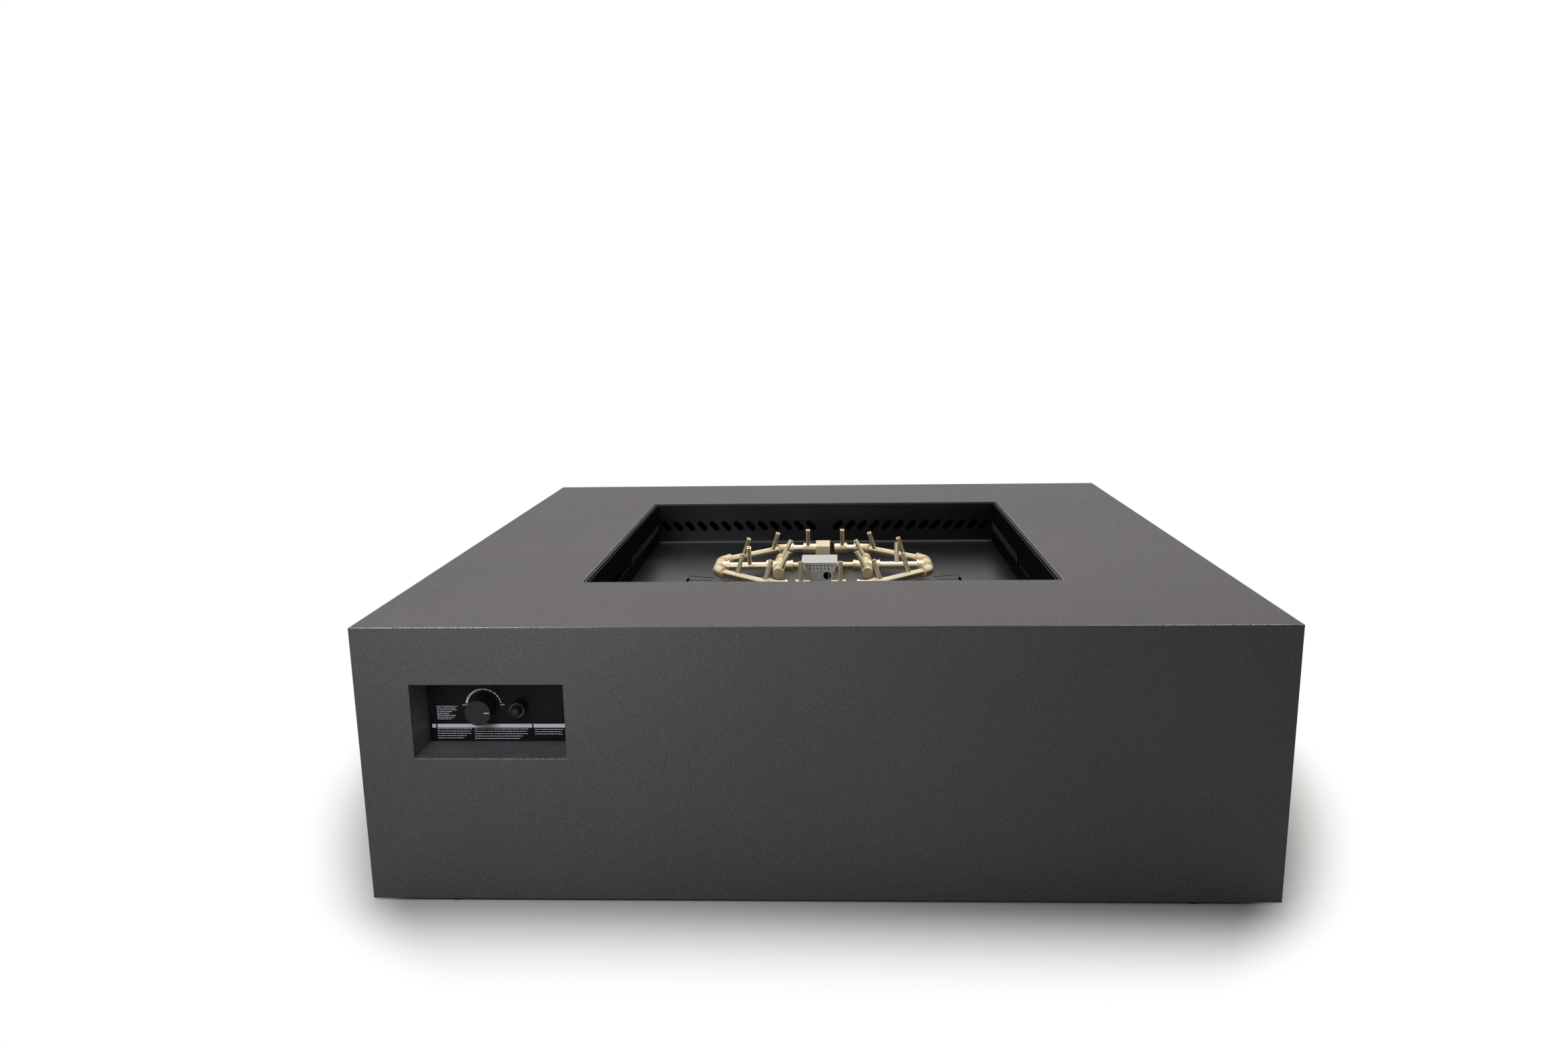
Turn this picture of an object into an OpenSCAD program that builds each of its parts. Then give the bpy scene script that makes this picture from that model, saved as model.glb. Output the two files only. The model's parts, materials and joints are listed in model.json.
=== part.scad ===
// Square gas fire pit table: a powder-coated steel shell, a slotted fire pan, a brass jet burner
// with a spark igniter, and a control recess in the front panel.
// Millimetres, +Z up, front at -Y, origin on the ground under the middle of the table.

/* [Shell] */
// Width and depth of the table
table_w = 1219; // [1050:1:1500]
// Height of the shell, from its lower edge to the table top
shell_h = 381; // [345:1:600]
// Thickness of the table top
top_t = 3; // [2:0.5:5]
// Thickness of the side panels
panel_t = 3; // [1.5:0.5:5]
// Gap between the ground and the shell's lower edge
foot_gap = 5; // [3:0.5:12]
// Leg of the angle steel in the base rails and the corner posts
angle_leg = 30; // [20:1:45]
// Thickness of the angle steel
angle_t = 3; // [2:0.5:5]
// Diameter of a rubber foot
foot_d = 28; // [18:1:34]
// Diameter of the stem that holds a foot in its rail
foot_stem_d = 8; // [5:0.5:10]
// Distance of the feet from the ends of their rails
foot_from_end = 110; // [60:1:250]

/* [Fire pan] */
// Width of the square cut-out in the table top
opening_w = 714; // [620:1:800]
// Gap between the cut-out and the collar inside it
collar_gap = 2; // [1:0.5:5]
// Thickness of the collar and of the recess box
sheet_t = 1.5; // [1:0.1:2.5]
// Height of the collar
collar_h = 26; // [12:1:30]
// Width of the collar's flange under the table top
collar_flange = 20; // [10:1:40]
// Depth of the collar's upper edge below the table top
collar_drop = 1.5; // [0.5:0.5:2]
// Gap between the collar and the pan
pan_gap = 2.5; // [1:0.5:6]
// Thickness of the pan's steel
pan_t = 2; // [1.5:0.5:4]
// Depth of the pan's floor below the table top
pan_depth = 82; // [70:1:110]
// Depth of the pan's rim below the table top
rim_drop = 2.5; // [1:0.5:6]
// Inner radius of the folds between the floor and the front and back walls
fold_r = 5; // [2:0.5:8]
// Length of a wall slot
slot_l = 25.4; // [16:0.2:30]
// Width of a wall slot
slot_w = 11.5; // [6:0.5:13]
// Distance between neighbouring slots
slot_pitch = 25.4; // [22:0.2:32]
// Slant of the slots
slot_slant = 45; // [30:1:60]
// Number of slots in each group
slot_count = 13; // [4:1:13]
// Distance of a group's first slot from the middle of its wall
slot_start = 28; // [18:1:40]
// Depth of the slots' middles below the table top
slot_drop = 46; // [40:1:52]
// Distance of the pan rails from the middle of the table
pan_rail_y = 220; // [170:1:260]
// Width of a pan rail
pan_rail_w = 40; // [20:1:60]
// Height of a pan rail
pan_rail_h = 25; // [12:1:40]

/* [Burner] */
// Height of the pipes' axis above the pan floor
burner_lift = 26.5; // [24:0.5:34]
// Outer diameter of the burner pipes
pipe_d = 13.7; // [10:0.1:15]
// Bore of the burner pipes
pipe_bore = 9.2; // [5:0.1:9.5]
// Outer diameter of the fittings' barrels
fitting_d = 18.8; // [17.5:0.1:22]
// Outer diameter of the bead at a fitting's mouth
bead_d = 20.8; // [19.5:0.1:26]
// Width of a bead
bead_w = 4; // [2:0.5:8]
// Depth to which a pipe screws into a fitting
thread_in = 10; // [6:0.5:11]
// Clearance around a pipe in its fitting
thread_gap = 0.05; // [0.02:0.01:0.1]
// Distance of the side tees from the middle
arm_x = 186; // [178:1:230]
// Distance of the side elbows from the side tees
side_y = 45; // [40:1:60]
// Distance of the front and back arms from the middle
end_y = 155; // [140:1:180]
// Distance of the crosses from the middle
cross_x = 78; // [70:1:84]
// Distance of the branch caps' closed ends from the mid arm
branch_y = 64; // [60:1:72]
// Distance of the closed ends of the back left and front right arms from the middle
near_end_x = 15; // [10:0.5:20]
// Distance of the closed ends of the other two arms from the middle
far_end_x = 20.5; // [10:0.5:21]
// Reach of an elbow's or a tee's arm
fitting_reach = 18; // [15:0.5:19]
// Bend radius of the burner's elbows
elbow_bend = 19; // [16:0.5:24]
// Reach of a cross's arm
cross_reach = 24; // [18:0.5:26]
// Length of a cap
cap_l = 24; // [18:0.5:25]
// Width of the hub block
hub_w = 25; // [24:1:36]
// Depth of the hub block
hub_l = 54; // [36:1:56]
// Height of the hub block above the pipes' axis
hub_above = 41; // [16:1:42]
// Height of the hub block below the pipes' axis
hub_below = 18; // [17:0.5:18.5]
// Outer diameter of a jet
jet_d = 8; // [6:0.1:9]
// Bore of a jet
jet_bore = 5; // [2:0.1:5.5]
// Diameter of the air hole in a jet's side
jet_hole = 2.6; // [1:0.1:3.5]
// Length of a jet from the axis of its pipe
jet_l = 41; // [28:0.5:44]

/* [Gas train] */
// Outer diameter of the inlet nipple
inlet_d = 21.3; // [18:0.1:22]
// Bore of the inlet nipple
inlet_bore = 15.8; // [8:0.1:16.5]
// Outer diameter of the gas tubes
tube_d = 12.7; // [8:0.1:14]
// Bore of the gas tubes
tube_bore = 10; // [4:0.1:10.5]
// Bend radius of the feed tube
tube_bend = 20; // [16:1:24]
// Diameter of the air mixer
mixer_d = 30; // [26:0.5:36]
// Length of the air mixer
mixer_l = 75; // [50:1:110]
// Diameter of the supply fitting's male end
supply_d = 15.9; // [12:0.1:18]
// Length of the supply fitting's male end
supply_l = 24; // [16:0.5:40]
// Height of the supply bracket above the ground
supply_z = 70; // [60:1:100]

/* [Igniter box] */
// Width of the igniter hood
hood_w = 61; // [50:0.5:64]
// Depth of the igniter hood
hood_l = 64; // [40:1:66]
// Height of the hood's top above the pan floor
hood_lift = 60; // [45:1:66]
// Distance of the igniter box left of the middle
box_left = 5; // [0:0.5:6]
// Distance of the hood's middle in front of the hub's middle
hood_front = 95; // [92:1:100]
// Thickness of the stainless sheet
hood_t = 1.2; // [0.8:0.1:2]
// Height of the perforated flap
flap_h = 16.5; // [12:0.5:20]
// Width of the flap's lower edge
flap_low_w = 50; // [44:0.5:56]
// Width of the box under the hood
box_w = 45; // [42:0.5:52]
// Distance of the box's walls from the hood's front and back edges
box_inset = 5; // [3:0.5:10]
// Diameter of the round window in the box
window_d = 13; // [6:0.5:14]
// Distance of the window from the middle of the box
window_x = 13; // [6:0.5:13.5]
// Diameter of the hood's small holes
vent_d = 3; // [1.5:0.1:3.5]
// Distance between neighbouring small holes
vent_pitch = 6.2; // [5:0.1:7]

/* [Control recess] */
// Width of the recess
recess_w = 203; // [185:1:240]
// Height of the recess
recess_h = 102; // [80:1:120]
// Depth of the recess, from the front of the table to the control plate
recess_depth = 63.5; // [50:0.5:90]
// Distance of the recess from the table's left edge
recess_left = 73; // [60:1:200]
// Depth of the recess's upper edge below the table top
recess_drop = 77.5; // [60:0.5:100]
// Width of the recess box's flange behind the panel
recess_flange = 12; // [6:1:20]
// Thickness of the control plate
plate_t = 1.5; // [1:0.1:3]
// Gap around the control plate
plate_gap = 0.3; // [0.1:0.1:1]
// Distance of the knob's axis left of the recess's middle
knob_left = 24; // [22:0.5:40]
// Distance of the igniter's axis right of the recess's middle
igniter_right = 26; // [20:0.5:40]

/* [Knob and valve] */
// Diameter of the knob
knob_d = 35; // [30:0.5:44]
// Depth of the knob
knob_l = 22; // [16:0.5:30]
// Gap between the control plate and the knob
knob_gap = 8; // [7:0.5:12]
// Wall of the knob's hollow back
knob_wall = 2.5; // [1.5:0.1:3.5]
// Travel of the knob when pushed
push_travel = 4; // [2:0.5:5]
// Length of the white pointer
pointer_l = 7; // [4:0.5:10]
// Width of the white pointer
pointer_w = 1.4; // [0.8:0.1:2.5]
// Diameter of the spindle
spindle_d = 6; // [5:0.1:7]
// Diameter of the valve's threaded neck
neck_d = 12; // [10:0.1:13]
// Width of the valve body
valve_w = 36; // [34:0.5:44]
// Diameter of the turning plug
plug_d = 18; // [15:0.1:20]
// Length of the turning plug
plug_l = 30; // [29:0.5:36]
// Running clearance of the plug and the spindle
run_gap = 0.05; // [0.03:0.01:0.1]
// Clearance at the plug's ends
end_gap = 0.3; // [0.2:0.1:0.5]

/* [Push-button igniter] */
// Diameter of the igniter's housing
housing_d = 17.2; // [16.8:0.1:18]
// Wall of the housing
housing_wall = 1.1; // [0.8:0.1:1.2]
// Length of the housing behind the recess box
housing_l = 58; // [54:0.5:80]
// Diameter of the igniter's cap
cap_d = 21; // [20:0.5:25]
// Height of the igniter's cap
cap_h = 19; // [17:0.5:24]
// Diameter of the push button
button_d = 14; // [10:0.1:14.2]
// Height of the button above its cap
button_up = 11; // [7:0.5:16]
// Travel of the push button
button_travel = 4; // [2:0.5:5]
// Clearance around the button
button_gap = 0.3; // [0.2:0.05:0.5]

/* [Hidden] */
$fn = 64;
past = 1;
hole_gap = 0.2;
seam = 0.2;
bend_slim = 0.4;
bend_lap = 1;
lead_r = 2;
capillary_r = 1.5;
lead_bend = 7;
nut_t = 7;

// Levels and distances that follow from the sizes above.
inner_w = table_w - 2 * panel_t;
top_z = foot_gap + shell_h;
panel_h = shell_h - top_t;
floor_top = top_z - pan_depth;
floor_low = floor_top - pan_t;
rim_z = top_z - rim_drop;
pan_w = opening_w - 2 * (collar_gap + sheet_t + pan_gap);
foot_in = max(panel_t + angle_leg / 2, foot_d / 2 + 1);

burner_z = floor_top + burner_lift;
pipe_r = pipe_d / 2;
fitting_r = fitting_d / 2;
bead_r = bead_d / 2;
corner_x = arm_x - (end_y - side_y);
hub_low = burner_z - hub_below;
jet_up = 18;
jet_in = 30;

recess_x = -table_w / 2 + recess_left + recess_w / 2;
recess_z = top_z - recess_drop - recess_h / 2;
plate_y = -table_w / 2 + recess_depth;
back_t = plate_t + sheet_t;
knob_x = recess_x - knob_left;
button_x = recess_x + igniter_right;

front_wall = 8;
back_wall = 9;
plug_front = -back_t - front_wall - end_gap;
plug_back = plug_front - plug_l;
valve_back = plug_back - end_gap - back_wall;
port_z = plug_back + 7;
boss_l = 10;
boss_r = tube_d / 2 + 4;
tube_in = 8;
tube_gap = 0.05;
capillary_z = plug_front - 2;

inlet_r = inlet_d / 2;
elbow_reach = 31;
inlet_in = 12;
feed_z = min(recess_z - 2 * tube_bend - 14, floor_low - pan_rail_h - 45);
feed_drop_y = plate_y - valve_back + boss_l + tube_bend + 6;
mixer_x = -elbow_reach - mixer_l;
orifice_x = mixer_x - 28;
lead_z = feed_z + mixer_d / 2 + lead_r + 2;
capillary_low = feed_z - mixer_d / 2 - 6;

hood_z = floor_top + hood_lift;
box_front = -hood_front - hood_l / 2 + box_inset;
box_l = hood_l - 2 * box_inset;
electrode_x = window_x + 2.5 - box_left;
electrode_y = box_front + 13;
probe_x = -13 - box_left;
probe_y = box_front + 24;
insulator_low = floor_low - 12;

// Shapes that repeat

function unit(v) = v / norm(v);

// A round bar between two points.
module rod(a, b, r, fn = $fn) {
    d = b - a;
    translate(a)
        rotate([0, acos(d.z / norm(d)), atan2(d.y, d.x)])
            cylinder(r = r, h = norm(d), $fn = fn);
}

// How far from its corner a bend between two directions starts.
function bend_cut(u, v, bend_r) = bend_r * tan(acos(u * v) / 2);

// The bent part of a round bar that comes along u to point p and leaves along v.
module bend(p, u, v, r, bend_r) {
    w = unit(v - (u * v) * u);
    n = cross(u, w);
    c = p - bend_cut(u, v, bend_r) * u + bend_r * w;
    multmatrix([[-w.x, u.x, n.x, c.x], [-w.y, u.y, n.y, c.y], [-w.z, u.z, n.z, c.z], [0, 0, 0, 1]])
        rotate_extrude(angle = acos(u * v))
            translate([bend_r, 0])
                circle(r = r);
}

// A round bar along a right-angled route, with bends of one radius.
module run(route, r, bend_r) {
    last = len(route) - 1;
    for (i = [0 : last - 1]) {
        dir = unit(route[i + 1] - route[i]);
        rod(route[i] + (i == 0 ? 0 : bend_r) * dir, route[i + 1] - (i == last - 1 ? 0 : bend_r) * dir, r);
    }
    for (i = [1 : last - 1])
        bend(route[i], unit(route[i] - route[i - 1]), unit(route[i + 1] - route[i]), r, bend_r);
}

// A coil spring along +Z.
module coil(coil_r, wire_r, height, turns) {
    steps = turns * 12;
    sides = 6;
    rings = [for (i = [0 : steps], k = [0 : sides - 1])
        let (turn = i * 30, a = k * 360 / sides, q = coil_r + wire_r * cos(a))
            [q * cos(turn), q * sin(turn), height * i / steps + wire_r * sin(a)]];
    walls = [for (i = [0 : steps - 1], k = [0 : sides - 1])
        let (n = (k + 1) % sides)
            [i * sides + k, i * sides + n, (i + 1) * sides + n, (i + 1) * sides + k]];
    first = [for (k = [0 : sides - 1]) sides - 1 - k];
    final = [for (k = [0 : sides - 1]) steps * sides + k];
    polyhedron(rings, concat(walls, [first], [final]));
}

// An angle bar along +X, with its heel on the X axis and its legs along +Y and +Z.
module angle_bar(length) {
    cube([length, angle_leg, angle_t]);
    cube([length, angle_t, angle_leg]);
}

// A flat pill outline between two points.
module pill(a, b, w) {
    d = b - a;
    translate(a)
        rotate(atan2(d.y, d.x)) {
            translate([0, -w / 2])
                square([norm(d), w]);
            circle(d = w);
            translate([norm(d), 0])
                circle(d = w);
        }
}

// The slanted slots of one pan wall, both groups, as flat outlines around the wall's middle.
module wall_slots() {
    half = (slot_l - slot_w) / 2 * [cos(slot_slant), sin(slot_slant)];
    for (side = [-1, 1], i = [0 : slot_count - 1]) {
        middle = [side * (slot_start + i * slot_pitch), top_z - slot_drop];
        reach = [side * half.x, half.y];
        if (abs(middle.x) + half.x + slot_w / 2 < pan_w / 2 - pan_t - fold_r)
            pill(middle - reach, middle + reach, slot_w);
    }
}

// The pan's section, open at the top, with rounded lower corners.
module cup(half, low, r, high) {
    translate([-half, low + r])
        square([2 * half, high - low - r]);
    translate([-half + r, low])
        square([2 * (half - r), high - low]);
    for (side = [-1, 1])
        translate([side * (half - r), low + r])
            circle(r = r);
}

// Turns a flat outline in the front view, drawn as width and height, into a slab through the table's depth.
module front_slab(depth) {
    rotate([90, 0, 0])
        linear_extrude(depth, center = true)
            children();
}

// The same for an outline in the side view, drawn as depth and height.
module side_slab(width) {
    rotate([90, 0, 90])
        linear_extrude(width, center = true)
            children();
}

// Places a piece on the control plate: +X right, +Y up, +Z out of the recess, zero on the plate's face.
module on_plate(x) {
    translate([x, plate_y, recess_z])
        rotate([90, 0, 0])
            children();
}

// Fittings of the burner, all in the plane of its pipes

function burner_point(x, y) = [x, y, burner_z];
diagonal = unit([1, -1, 0]);

// Barrels and beads from one point along several directions.
module barrels(p, dirs, reach) {
    for (d = dirs) {
        rod(p, p + reach * d, fitting_r);
        rod(p + (reach - bead_w) * d, p + reach * d, bead_r);
    }
}

// Sockets and bores for the same directions.
module sockets(p, dirs, reach) {
    for (d = dirs) {
        rod(p + (reach - thread_in) * d, p + (reach + past) * d, pipe_r + thread_gap);
        rod(p, p + reach * d, pipe_bore / 2);
    }
}

module fitting(p, dirs, reach) {
    difference() {
        union() {
            barrels(p, dirs, reach);
            translate(p)
                sphere(r = fitting_r + 0.5);
        }
        sockets(p, dirs, reach);
        translate(p)
            sphere(r = pipe_bore / 2 + 0.2);
    }
}

// An elbow with one arm along each of two directions. Its barrels lap over a slimmer bend.
module elbow(p, dirs) {
    cut = bend_cut(-dirs[0], dirs[1], elbow_bend);
    difference() {
        union() {
            bend(p, -dirs[0], dirs[1], fitting_r - bend_slim, elbow_bend);
            for (d = dirs) {
                rod(p + (cut - bend_lap) * d, p + fitting_reach * d, fitting_r);
                rod(p + (fitting_reach - bead_w) * d, p + fitting_reach * d, bead_r);
            }
        }
        bend(p, -dirs[0], dirs[1], pipe_bore / 2, elbow_bend);
        for (d = dirs)
            rod(p + (cut - bend_lap / 2) * d, p + (fitting_reach + past) * d, pipe_r + thread_gap);
    }
}

module pipe(a, b) {
    difference() {
        rod(a, b, pipe_r);
        rod(a - past * unit(b - a), b + past * unit(b - a), pipe_bore / 2);
    }
}

// A cap with its mouth at a point, closed toward a direction.
module cap(p, dir) {
    difference() {
        union() {
            rod(p, p + cap_l * dir, fitting_r);
            rod(p, p + bead_w * dir, bead_r);
        }
        rod(p - past * dir, p + thread_in * dir, pipe_r + thread_gap);
        rod(p, p + (cap_l - 3) * dir, pipe_bore / 2);
    }
}

// The closed end of an arm: the burner looks the same after half a turn.
function end_x(sx, sy) = sx * sy < 0 ? near_end_x : far_end_x;

// Jets: a foot on the axis of the piece that carries it, the jet's lean to +X and +Y in degrees,
// the direction of the carrying piece, and its radius.
arm_jets = [
    [burner_point(-arm_x + 54, 0), 0, -24, [1, 0, 0], pipe_r],
    [burner_point(arm_x - 54, 0), 0, 6, [1, 0, 0], pipe_r]];
branch_jets = [for (sx = [-1, 1], sy = [-1, 1])
    [burner_point(sx * cross_x, sy * (branch_y - cap_l / 2)), -sx * 28, 0, [0, 1, 0], fitting_r]];
diagonal_jets = [for (sx = [-1, 1], sy = [-1, 1], along = [jet_in + 21, 155 - jet_in - 1])
    [burner_point(sx * arm_x, sy * side_y) + along * [-sx * diagonal.x, -sy * diagonal.y, 0],
        -sx * jet_up, sy < 0 ? 0 : -20, [sx, -sy, 0], pipe_r]];
end_jets = [for (sx = [-1, 1], sy = [-1, 1])
    [burner_point(sx * (end_x(sx, sy) + cap_l - bead_w - jet_d / 2 - past), sy * end_y), 0, sy < 0 ? 0 : -20,
        [1, 0, 0], fitting_r]];

function lean(jet) = unit([tan(jet[1]), tan(jet[2]), 1]);

module jet_tube(jet) {
    foot = jet[0];
    dir = lean(jet);
    hole = foot + 0.62 * jet_l * dir;
    difference() {
        rod(foot, foot + jet_l * dir, jet_d / 2);
        rod(foot, foot + (jet_l + past) * dir, jet_bore / 2);
        rod(foot - 30 * unit(jet[3]), foot + 30 * unit(jet[3]), jet[4] + thread_gap);
        rod(hole - jet_d * [0, 1, 0], hole + jet_d * [0, 1, 0], jet_hole / 2);
    }
}

// The gas ports that feed a list of jets, cut from the pieces that carry them.
module jet_ports(jets) {
    for (jet = jets)
        rod(jet[0], jet[0] + (jet[4] + past) * lean(jet), jet_bore / 2 - 1);
}

// Shell

module top_plate() {
    color("#6f6b67")
        difference() {
            translate([-table_w / 2, -table_w / 2, top_z - top_t])
                cube([table_w, table_w, top_t]);
            translate([-opening_w / 2, -opening_w / 2, top_z - top_t - past])
                cube([opening_w, opening_w, top_t + 2 * past]);
        }
}

module front_panel() {
    color("#454446")
        difference() {
            translate([-table_w / 2, -table_w / 2, foot_gap])
                cube([table_w, panel_t, panel_h]);
            translate([recess_x - recess_w / 2, -table_w / 2 - past, recess_z - recess_h / 2])
                cube([recess_w, panel_t + 2 * past, recess_h]);
        }
}

module back_panel() {
    color("#454446")
        translate([-table_w / 2, table_w / 2 - panel_t, foot_gap])
            cube([table_w, panel_t, panel_h]);
}

module left_panel() {
    color("#454446")
        translate([-table_w / 2, -inner_w / 2, foot_gap])
            cube([panel_t, inner_w, panel_h]);
}

module right_panel() {
    color("#454446")
        translate([table_w / 2 - panel_t, -inner_w / 2, foot_gap])
            cube([panel_t, inner_w, panel_h]);
}

// Where the feet stand: two on the front rail and two on the back rail.
feet = [for (sx = [-1, 1], sy = [-1, 1])
    [sx * (inner_w / 2 - foot_from_end), sy * (table_w / 2 - foot_in), 0]];

module base_rails() {
    short_l = inner_w - 2 * (angle_leg + seam);
    color("#3a3a3c")
        difference() {
            union() {
                for (turn = [0, 180])
                    rotate(turn)
                        translate([-inner_w / 2, -inner_w / 2, foot_gap])
                            angle_bar(inner_w);
                for (turn = [90, 270])
                    rotate(turn)
                        translate([-short_l / 2, -inner_w / 2, foot_gap])
                            angle_bar(short_l);
            }
            for (p = feet)
                translate(p)
                    cylinder(d = foot_stem_d + 2 * hole_gap, h = foot_gap + angle_t + past);
        }
}

module corner_posts() {
    low = foot_gap + angle_leg;
    color("#3a3a3c")
        for (turn = [0 : 90 : 270])
            rotate(turn)
                translate([-inner_w / 2, -inner_w / 2, low]) {
                    cube([angle_leg, angle_t, top_z - top_t - low]);
                    cube([angle_t, angle_leg, top_z - top_t - low]);
                }
}

module rubber_feet() {
    color("#1c1c1c")
        for (p = feet)
            translate(p) {
                cylinder(d = foot_d, h = foot_gap);
                cylinder(d = foot_stem_d, h = foot_gap + angle_t);
                translate([0, 0, foot_gap + angle_t])
                    cylinder(d = foot_stem_d + 4, h = 4);
            }
}

// Fire pan

module opening_collar() {
    outer = opening_w - 2 * collar_gap;
    wide = outer + 2 * collar_flange;
    color("#2b2a2a")
        difference() {
            union() {
                translate([-outer / 2, -outer / 2, top_z - collar_drop - collar_h])
                    cube([outer, outer, collar_h]);
                translate([-wide / 2, -wide / 2, top_z - top_t - sheet_t])
                    cube([wide, wide, sheet_t]);
            }
            translate([-outer / 2 + sheet_t, -outer / 2 + sheet_t, top_z - collar_drop - collar_h - past])
                cube([outer - 2 * sheet_t, outer - 2 * sheet_t, collar_h + 2 * past]);
        }
}

module pan_rails() {
    tab_t = 3;
    length = inner_w - 2 * tab_t;
    color("#3a3a3c")
        for (side = [-1, 1])
            translate([0, side * pan_rail_y, floor_low]) {
                difference() {
                    translate([-length / 2, -pan_rail_w / 2, -pan_rail_h])
                        cube([length, pan_rail_w, pan_rail_h]);
                    translate([-length / 2 - past, -pan_rail_w / 2 + 2, -pan_rail_h - past])
                        cube([length + 2 * past, pan_rail_w - 4, pan_rail_h - 2 + past]);
                }
                for (end = [-1, 1])
                    translate([end * (inner_w - tab_t) / 2, 0, -pan_rail_h / 2])
                        cube([tab_t, pan_rail_w + 24, pan_rail_h + 16], center = true);
            }
}

// Narrow slits in the floor on each side of the burner, for the right-hand side.
floor_slits = [
    [[246, -17], [246, 17], 5],
    [[205, 0], [246, 0], 3.6],
    [[201, 21], [247, 37], 3.6],
    [[201, -21], [247, -37], 3.6]];

module pan_tray() {
    color("#191818")
        difference() {
            side_slab(pan_w - 2 * pan_t)
                difference() {
                    cup(pan_w / 2, floor_low, fold_r + pan_t, rim_z);
                    cup(pan_w / 2 - pan_t, floor_top, fold_r, rim_z + past);
                }
            front_slab(pan_w + 2 * past)
                wall_slots();
            translate([0, 0, floor_low - past])
                linear_extrude(pan_t + 2 * past) {
                    for (side = [-1, 1], slit = floor_slits)
                        pill([side * slit[0].x, slit[0].y], [side * slit[1].x, slit[1].y], slit[2]);
                    circle(r = inlet_r + hole_gap);
                    translate([electrode_x, electrode_y])
                        circle(r = 4 + hole_gap);
                    translate([probe_x, probe_y])
                        circle(r = 3 + hole_gap);
                }
        }
}

module pan_end_wall(side) {
    color("#191818")
        translate([side * (pan_w - pan_t) / 2, 0, 0])
            side_slab(pan_t)
                difference() {
                    cup(pan_w / 2, floor_low, fold_r + pan_t, rim_z);
                    wall_slots();
                }
}

module pan_left_wall() {
    pan_end_wall(-1);
}

module pan_right_wall() {
    pan_end_wall(1);
}

// Burner

module burner_hub() {
    color("#c9ae76")
        difference() {
            translate([-hub_w / 2, -hub_l / 2, hub_low])
                cube([hub_w, hub_l, hub_below + hub_above]);
            rod(burner_point(-hub_w / 2 - past, 0), burner_point(hub_w / 2 + past, 0), pipe_bore / 2);
            for (side = [-1, 1])
                rod(burner_point(side * (hub_w / 2 - 7), 0), burner_point(side * (hub_w / 2 + past), 0),
                    pipe_r + thread_gap);
            translate([0, 0, hub_low - past])
                cylinder(r = inlet_r + thread_gap, h = 8 + past);
            translate([0, 0, hub_low])
                cylinder(r = 4, h = hub_below);
        }
}

module burner_nipples() {
    color("#b99a5e") {
        for (sx = [-1, 1])
            pipe(burner_point(sx * (hub_w / 2 - 7), 0), burner_point(sx * (cross_x - cross_reach + thread_in), 0));
        for (sx = [-1, 1], sy = [-1, 1]) {
            pipe(burner_point(sx * cross_x, sy * (cross_reach - thread_in)),
                burner_point(sx * cross_x, sy * (branch_y - cap_l + thread_in)));
            pipe(burner_point(sx * arm_x, sy * (fitting_reach - thread_in)),
                burner_point(sx * arm_x, sy * (side_y - fitting_reach + thread_in)));
        }
    }
}

module arm_crosses() {
    color("#c9ae76")
        for (sx = [-1, 1])
            fitting(burner_point(sx * cross_x, 0), [[1, 0, 0], [-1, 0, 0], [0, 1, 0], [0, -1, 0]], cross_reach);
}

module branch_caps() {
    slot_t = 1.6;
    color("#c9ae76")
        difference() {
            for (sx = [-1, 1], sy = [-1, 1])
                cap(burner_point(sx * cross_x, sy * (branch_y - cap_l)), [0, sy, 0]);
            for (sx = [-1, 1], sy = [-1, 1])
                translate(burner_point(sx * cross_x, sy * branch_y))
                    rotate([0, sx * 45, 0])
                        cube([slot_t, 2 * slot_t, bead_d + past], center = true);
            jet_ports(branch_jets);
        }
}

module arm_pipes() {
    color("#c9ae76")
        difference() {
            for (sx = [-1, 1])
                pipe(burner_point(sx * (cross_x + cross_reach - thread_in), 0),
                    burner_point(sx * (arm_x - fitting_reach + thread_in), 0));
            jet_ports(arm_jets);
        }
}

module side_tees() {
    color("#c9ae76")
        for (sx = [-1, 1])
            fitting(burner_point(sx * arm_x, 0), [[-sx, 0, 0], [0, 1, 0], [0, -1, 0]], fitting_reach);
}

module side_elbows() {
    color("#c9ae76")
        for (sx = [-1, 1], sy = [-1, 1])
            elbow(burner_point(sx * arm_x, sy * side_y),
                [[0, -sy, 0], [-sx * diagonal.x, -sy * diagonal.y, 0]]);
}

module diagonal_pipes() {
    short = fitting_reach - thread_in;
    color("#c9ae76")
        difference() {
            for (sx = [-1, 1], sy = [-1, 1]) {
                dir = [sx * diagonal.x, sy * diagonal.y, 0];
                pipe(burner_point(sx * arm_x, sy * side_y) - short * dir,
                    burner_point(sx * corner_x, sy * end_y) + short * dir);
            }
            jet_ports(diagonal_jets);
        }
}

module corner_elbows() {
    color("#c9ae76")
        for (sx = [-1, 1], sy = [-1, 1])
            elbow(burner_point(sx * corner_x, sy * end_y),
                [[sx * diagonal.x, sy * diagonal.y, 0], [-sx, 0, 0]]);
}

module end_pipes() {
    color("#b99a5e")
        for (sx = [-1, 1], sy = [-1, 1])
            pipe(burner_point(sx * (corner_x - fitting_reach + thread_in), sy * end_y),
                burner_point(sx * (end_x(sx, sy) + cap_l - thread_in), sy * end_y));
}

module end_caps() {
    color("#c9ae76")
        difference() {
            for (sx = [-1, 1], sy = [-1, 1])
                cap(burner_point(sx * (end_x(sx, sy) + cap_l), sy * end_y), [-sx, 0, 0]);
            jet_ports(end_jets);
        }
}

module burner_jets() {
    color("#d9c08a")
        for (jet = concat(arm_jets, branch_jets, diagonal_jets, end_jets))
            jet_tube(jet);
}

// Gas train under the pan

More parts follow.
